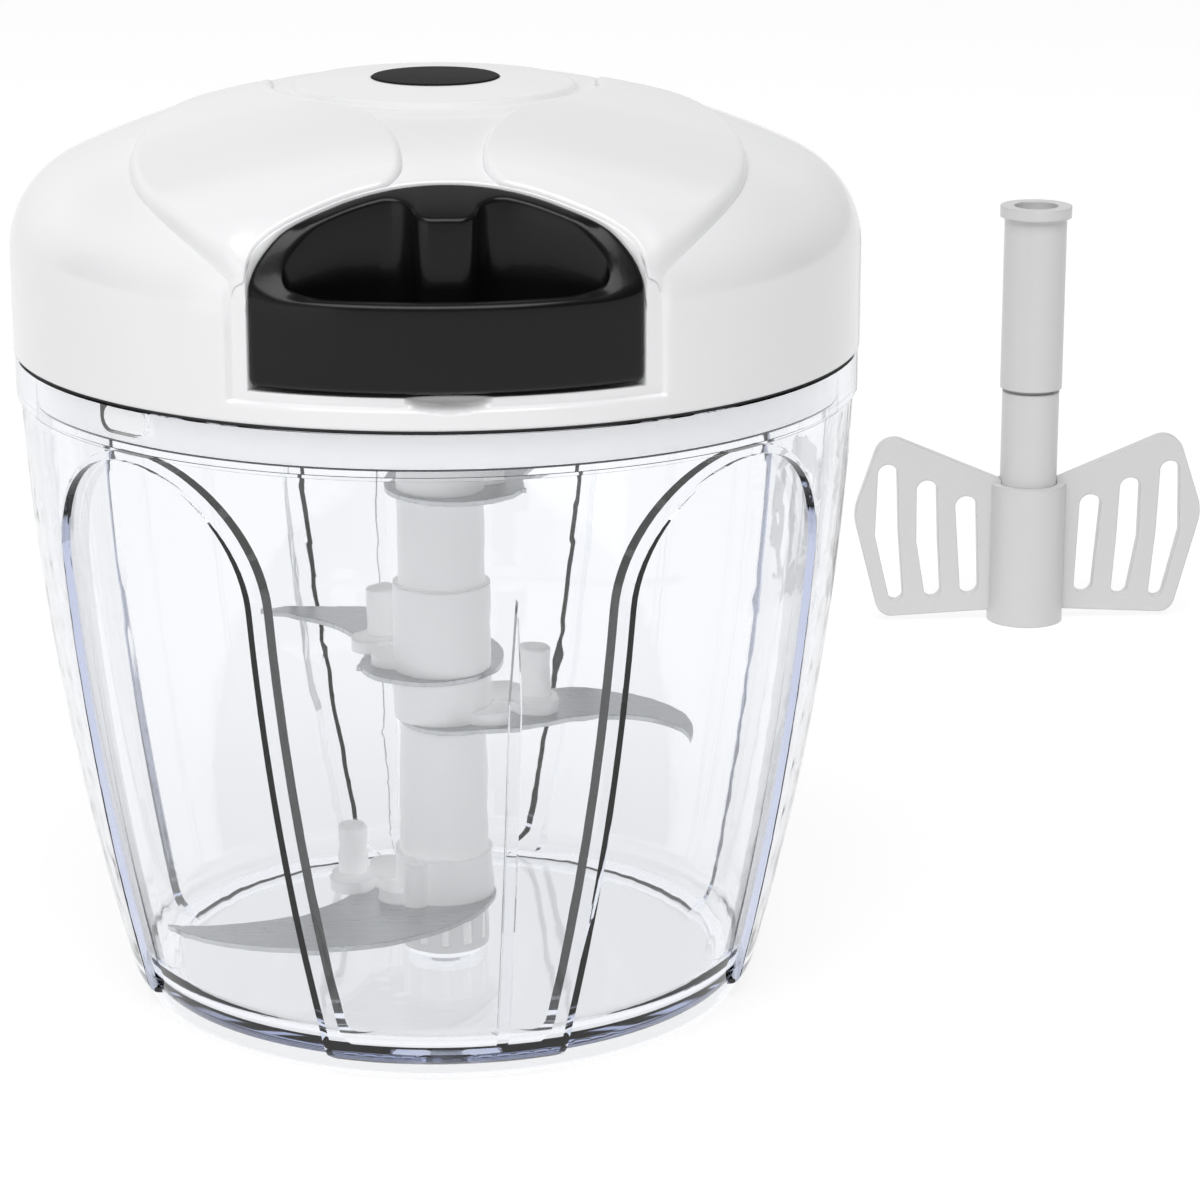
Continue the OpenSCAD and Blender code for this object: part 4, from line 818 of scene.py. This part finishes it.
def quarter(radius, count=7):
    """Inset and drop of points on a quarter round, from the wall to the flat."""
    angle = np.linspace(0, math.pi / 2, count)
    return list(zip(radius * (1 - np.cos(angle)), radius * (1 - np.sin(angle))))


def wall_rows(outline, low, edge, parts):
    """Rows of an upright wall, at shares of the way from the height low to the top's edge round."""
    return [handle_row(outline, 0.0, lambda plan, part=part: low + part * (
        handle_top(plan) - edge - low)) for part in parts]


def flat_edge(outline, radius, level):
    """Rows of the round between a wall and a flat at one level, from the wall to the flat."""
    return [handle_row(outline, inset, lambda plan, drop=drop: level + drop)
            for inset, drop in quarter(radius)]


def top_edge(outline, radius, way):
    """Rows of the round between a wall and the top, from the wall to the top. way is 1 where the
    top lies inside the outline and -1 where it lies outside."""
    return [handle_row(outline, way * inset, lambda plan, drop=drop: handle_top(plan) - drop)
            for inset, drop in quarter(radius)]


handle_rows = [spine_row(HANDLE_LOW)]
handle_rows += flat_edge(handle_outer, UNDER_EDGE, HANDLE_LOW)[::-1]
handle_rows += wall_rows(handle_outer, HANDLE_LOW + UNDER_EDGE, OUTER_EDGE, WALL_PARTS)
handle_rows += top_edge(handle_outer, OUTER_EDGE, 1)
handle_rows += top_edge(handle_hollow, INNER_EDGE, -1)[::-1]
handle_rows += wall_rows(handle_hollow, HOLLOW_FLOOR + FLOOR_EDGE, INNER_EDGE, WALL_PARTS[::-1])
handle_rows += flat_edge(handle_hollow, FLOOR_EDGE, HOLLOW_FLOOR)
handle_rows += [spine_row(HOLLOW_FLOOR)]
handle = grid_piece("handle_grip", np.stack(handle_rows), "handle", "black_satin")
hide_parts("pull_handle")

# %% [markdown]
# ## Pull cord
# The cord is braided nylon, 2 mm thick. Most of it lies on the drum, and a short run leads through
# the eyelet to the handle. A braid is two families of strands that cross, so its surface is a
# tube whose radius is a product of two cosines, one for each family. The run is stretched
# between lid and handle, and hangs on no body.

# %% Braided cord
FERRULE_Y = -53.0
CORD_R, CORD_Z, WIND_R, WIND_PITCH, WIND_TURNS = 1.0, 113.7, 28.0, 2.6, 2.5
EYELET_Y, BEND_Y, BEND_RUN, RUN_STEP = -47.5, -38.0, 5.0, 0.2
LEAVE = math.radians(-47.4631)
leave_point = np.array([WIND_R * math.cos(LEAVE), WIND_R * math.sin(LEAVE), CORD_Z])
leave_way = np.array([math.sin(LEAVE), -math.cos(LEAVE), 0.0])


def spaced(path, step):
    """Points at equal steps of length along a polyline."""
    length = np.concatenate([[0], np.cumsum(np.linalg.norm(np.diff(path, axis=0), axis=1))])
    at = np.linspace(0, length[-1], int(length[-1] / step) + 1)
    return at, np.stack([np.interp(at, length, path[:, k]) for k in range(3)], axis=-1)


def braided_cord(path, step=0.4, around=16, strands=4, lay=3.2, depth=0.09):
    """Tube along a level path. Radius at length s and angle a: the cord's radius, less half of
    depth times one minus cos(strands a + 2 pi s / lay) cos(strands a - 2 pi s / lay)."""
    at, centre = spaced(path, step)
    ahead = np.gradient(centre, axis=0)
    ahead /= np.linalg.norm(ahead, axis=1, keepdims=True)
    aside = np.cross(ahead, [0.0, 0.0, 1.0])
    aside /= np.linalg.norm(aside, axis=1, keepdims=True)
    above = np.cross(aside, ahead)
    angle = np.linspace(0, 2 * math.pi, around, endpoint=False)
    twist = 2 * math.pi * at[:, None] / lay
    weave = np.cos(strands * angle + twist) * np.cos(strands * angle - twist)
    radius = CORD_R - depth * (1 - weave) / 2
    ring = np.cos(angle)[:, None] * aside[:, None] + np.sin(angle)[:, None] * above[:, None]
    return centre[:, None] + radius[..., None] * ring


turn = np.linspace(0, 2 * math.pi * WIND_TURNS, 720)
climb = CORD_Z + WIND_PITCH * turn / (2 * math.pi)
helix = np.stack([WIND_R * np.cos(LEAVE + turn), WIND_R * np.sin(LEAVE + turn), climb], axis=-1)
cord_start = leave_point + 2 * CORD_R * leave_way
helix = np.concatenate([[cord_start], helix])
winding = grid_piece("cord_on_drum", braided_cord(helix), "reel", "cord", True, True)
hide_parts("cord_winding")

bend = np.array([0.0, BEND_Y, CORD_Z])
bend_from, bend_to = bend - BEND_RUN * leave_way, bend + np.array([0.0, -BEND_RUN, 0.0])
part = np.linspace(0, 1, 24)[:, None]
curve = (1 - part) ** 2 * bend_from + 2 * part * (1 - part) * bend + part ** 2 * bend_to
run_path = np.concatenate([[cord_start], curve, [[0.0, FERRULE_Y, CORD_Z]]])
run = grid_piece("cord_to_handle", braided_cord(run_path, RUN_STEP), None, "cord", True, True)
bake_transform(run)
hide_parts("cord_run")
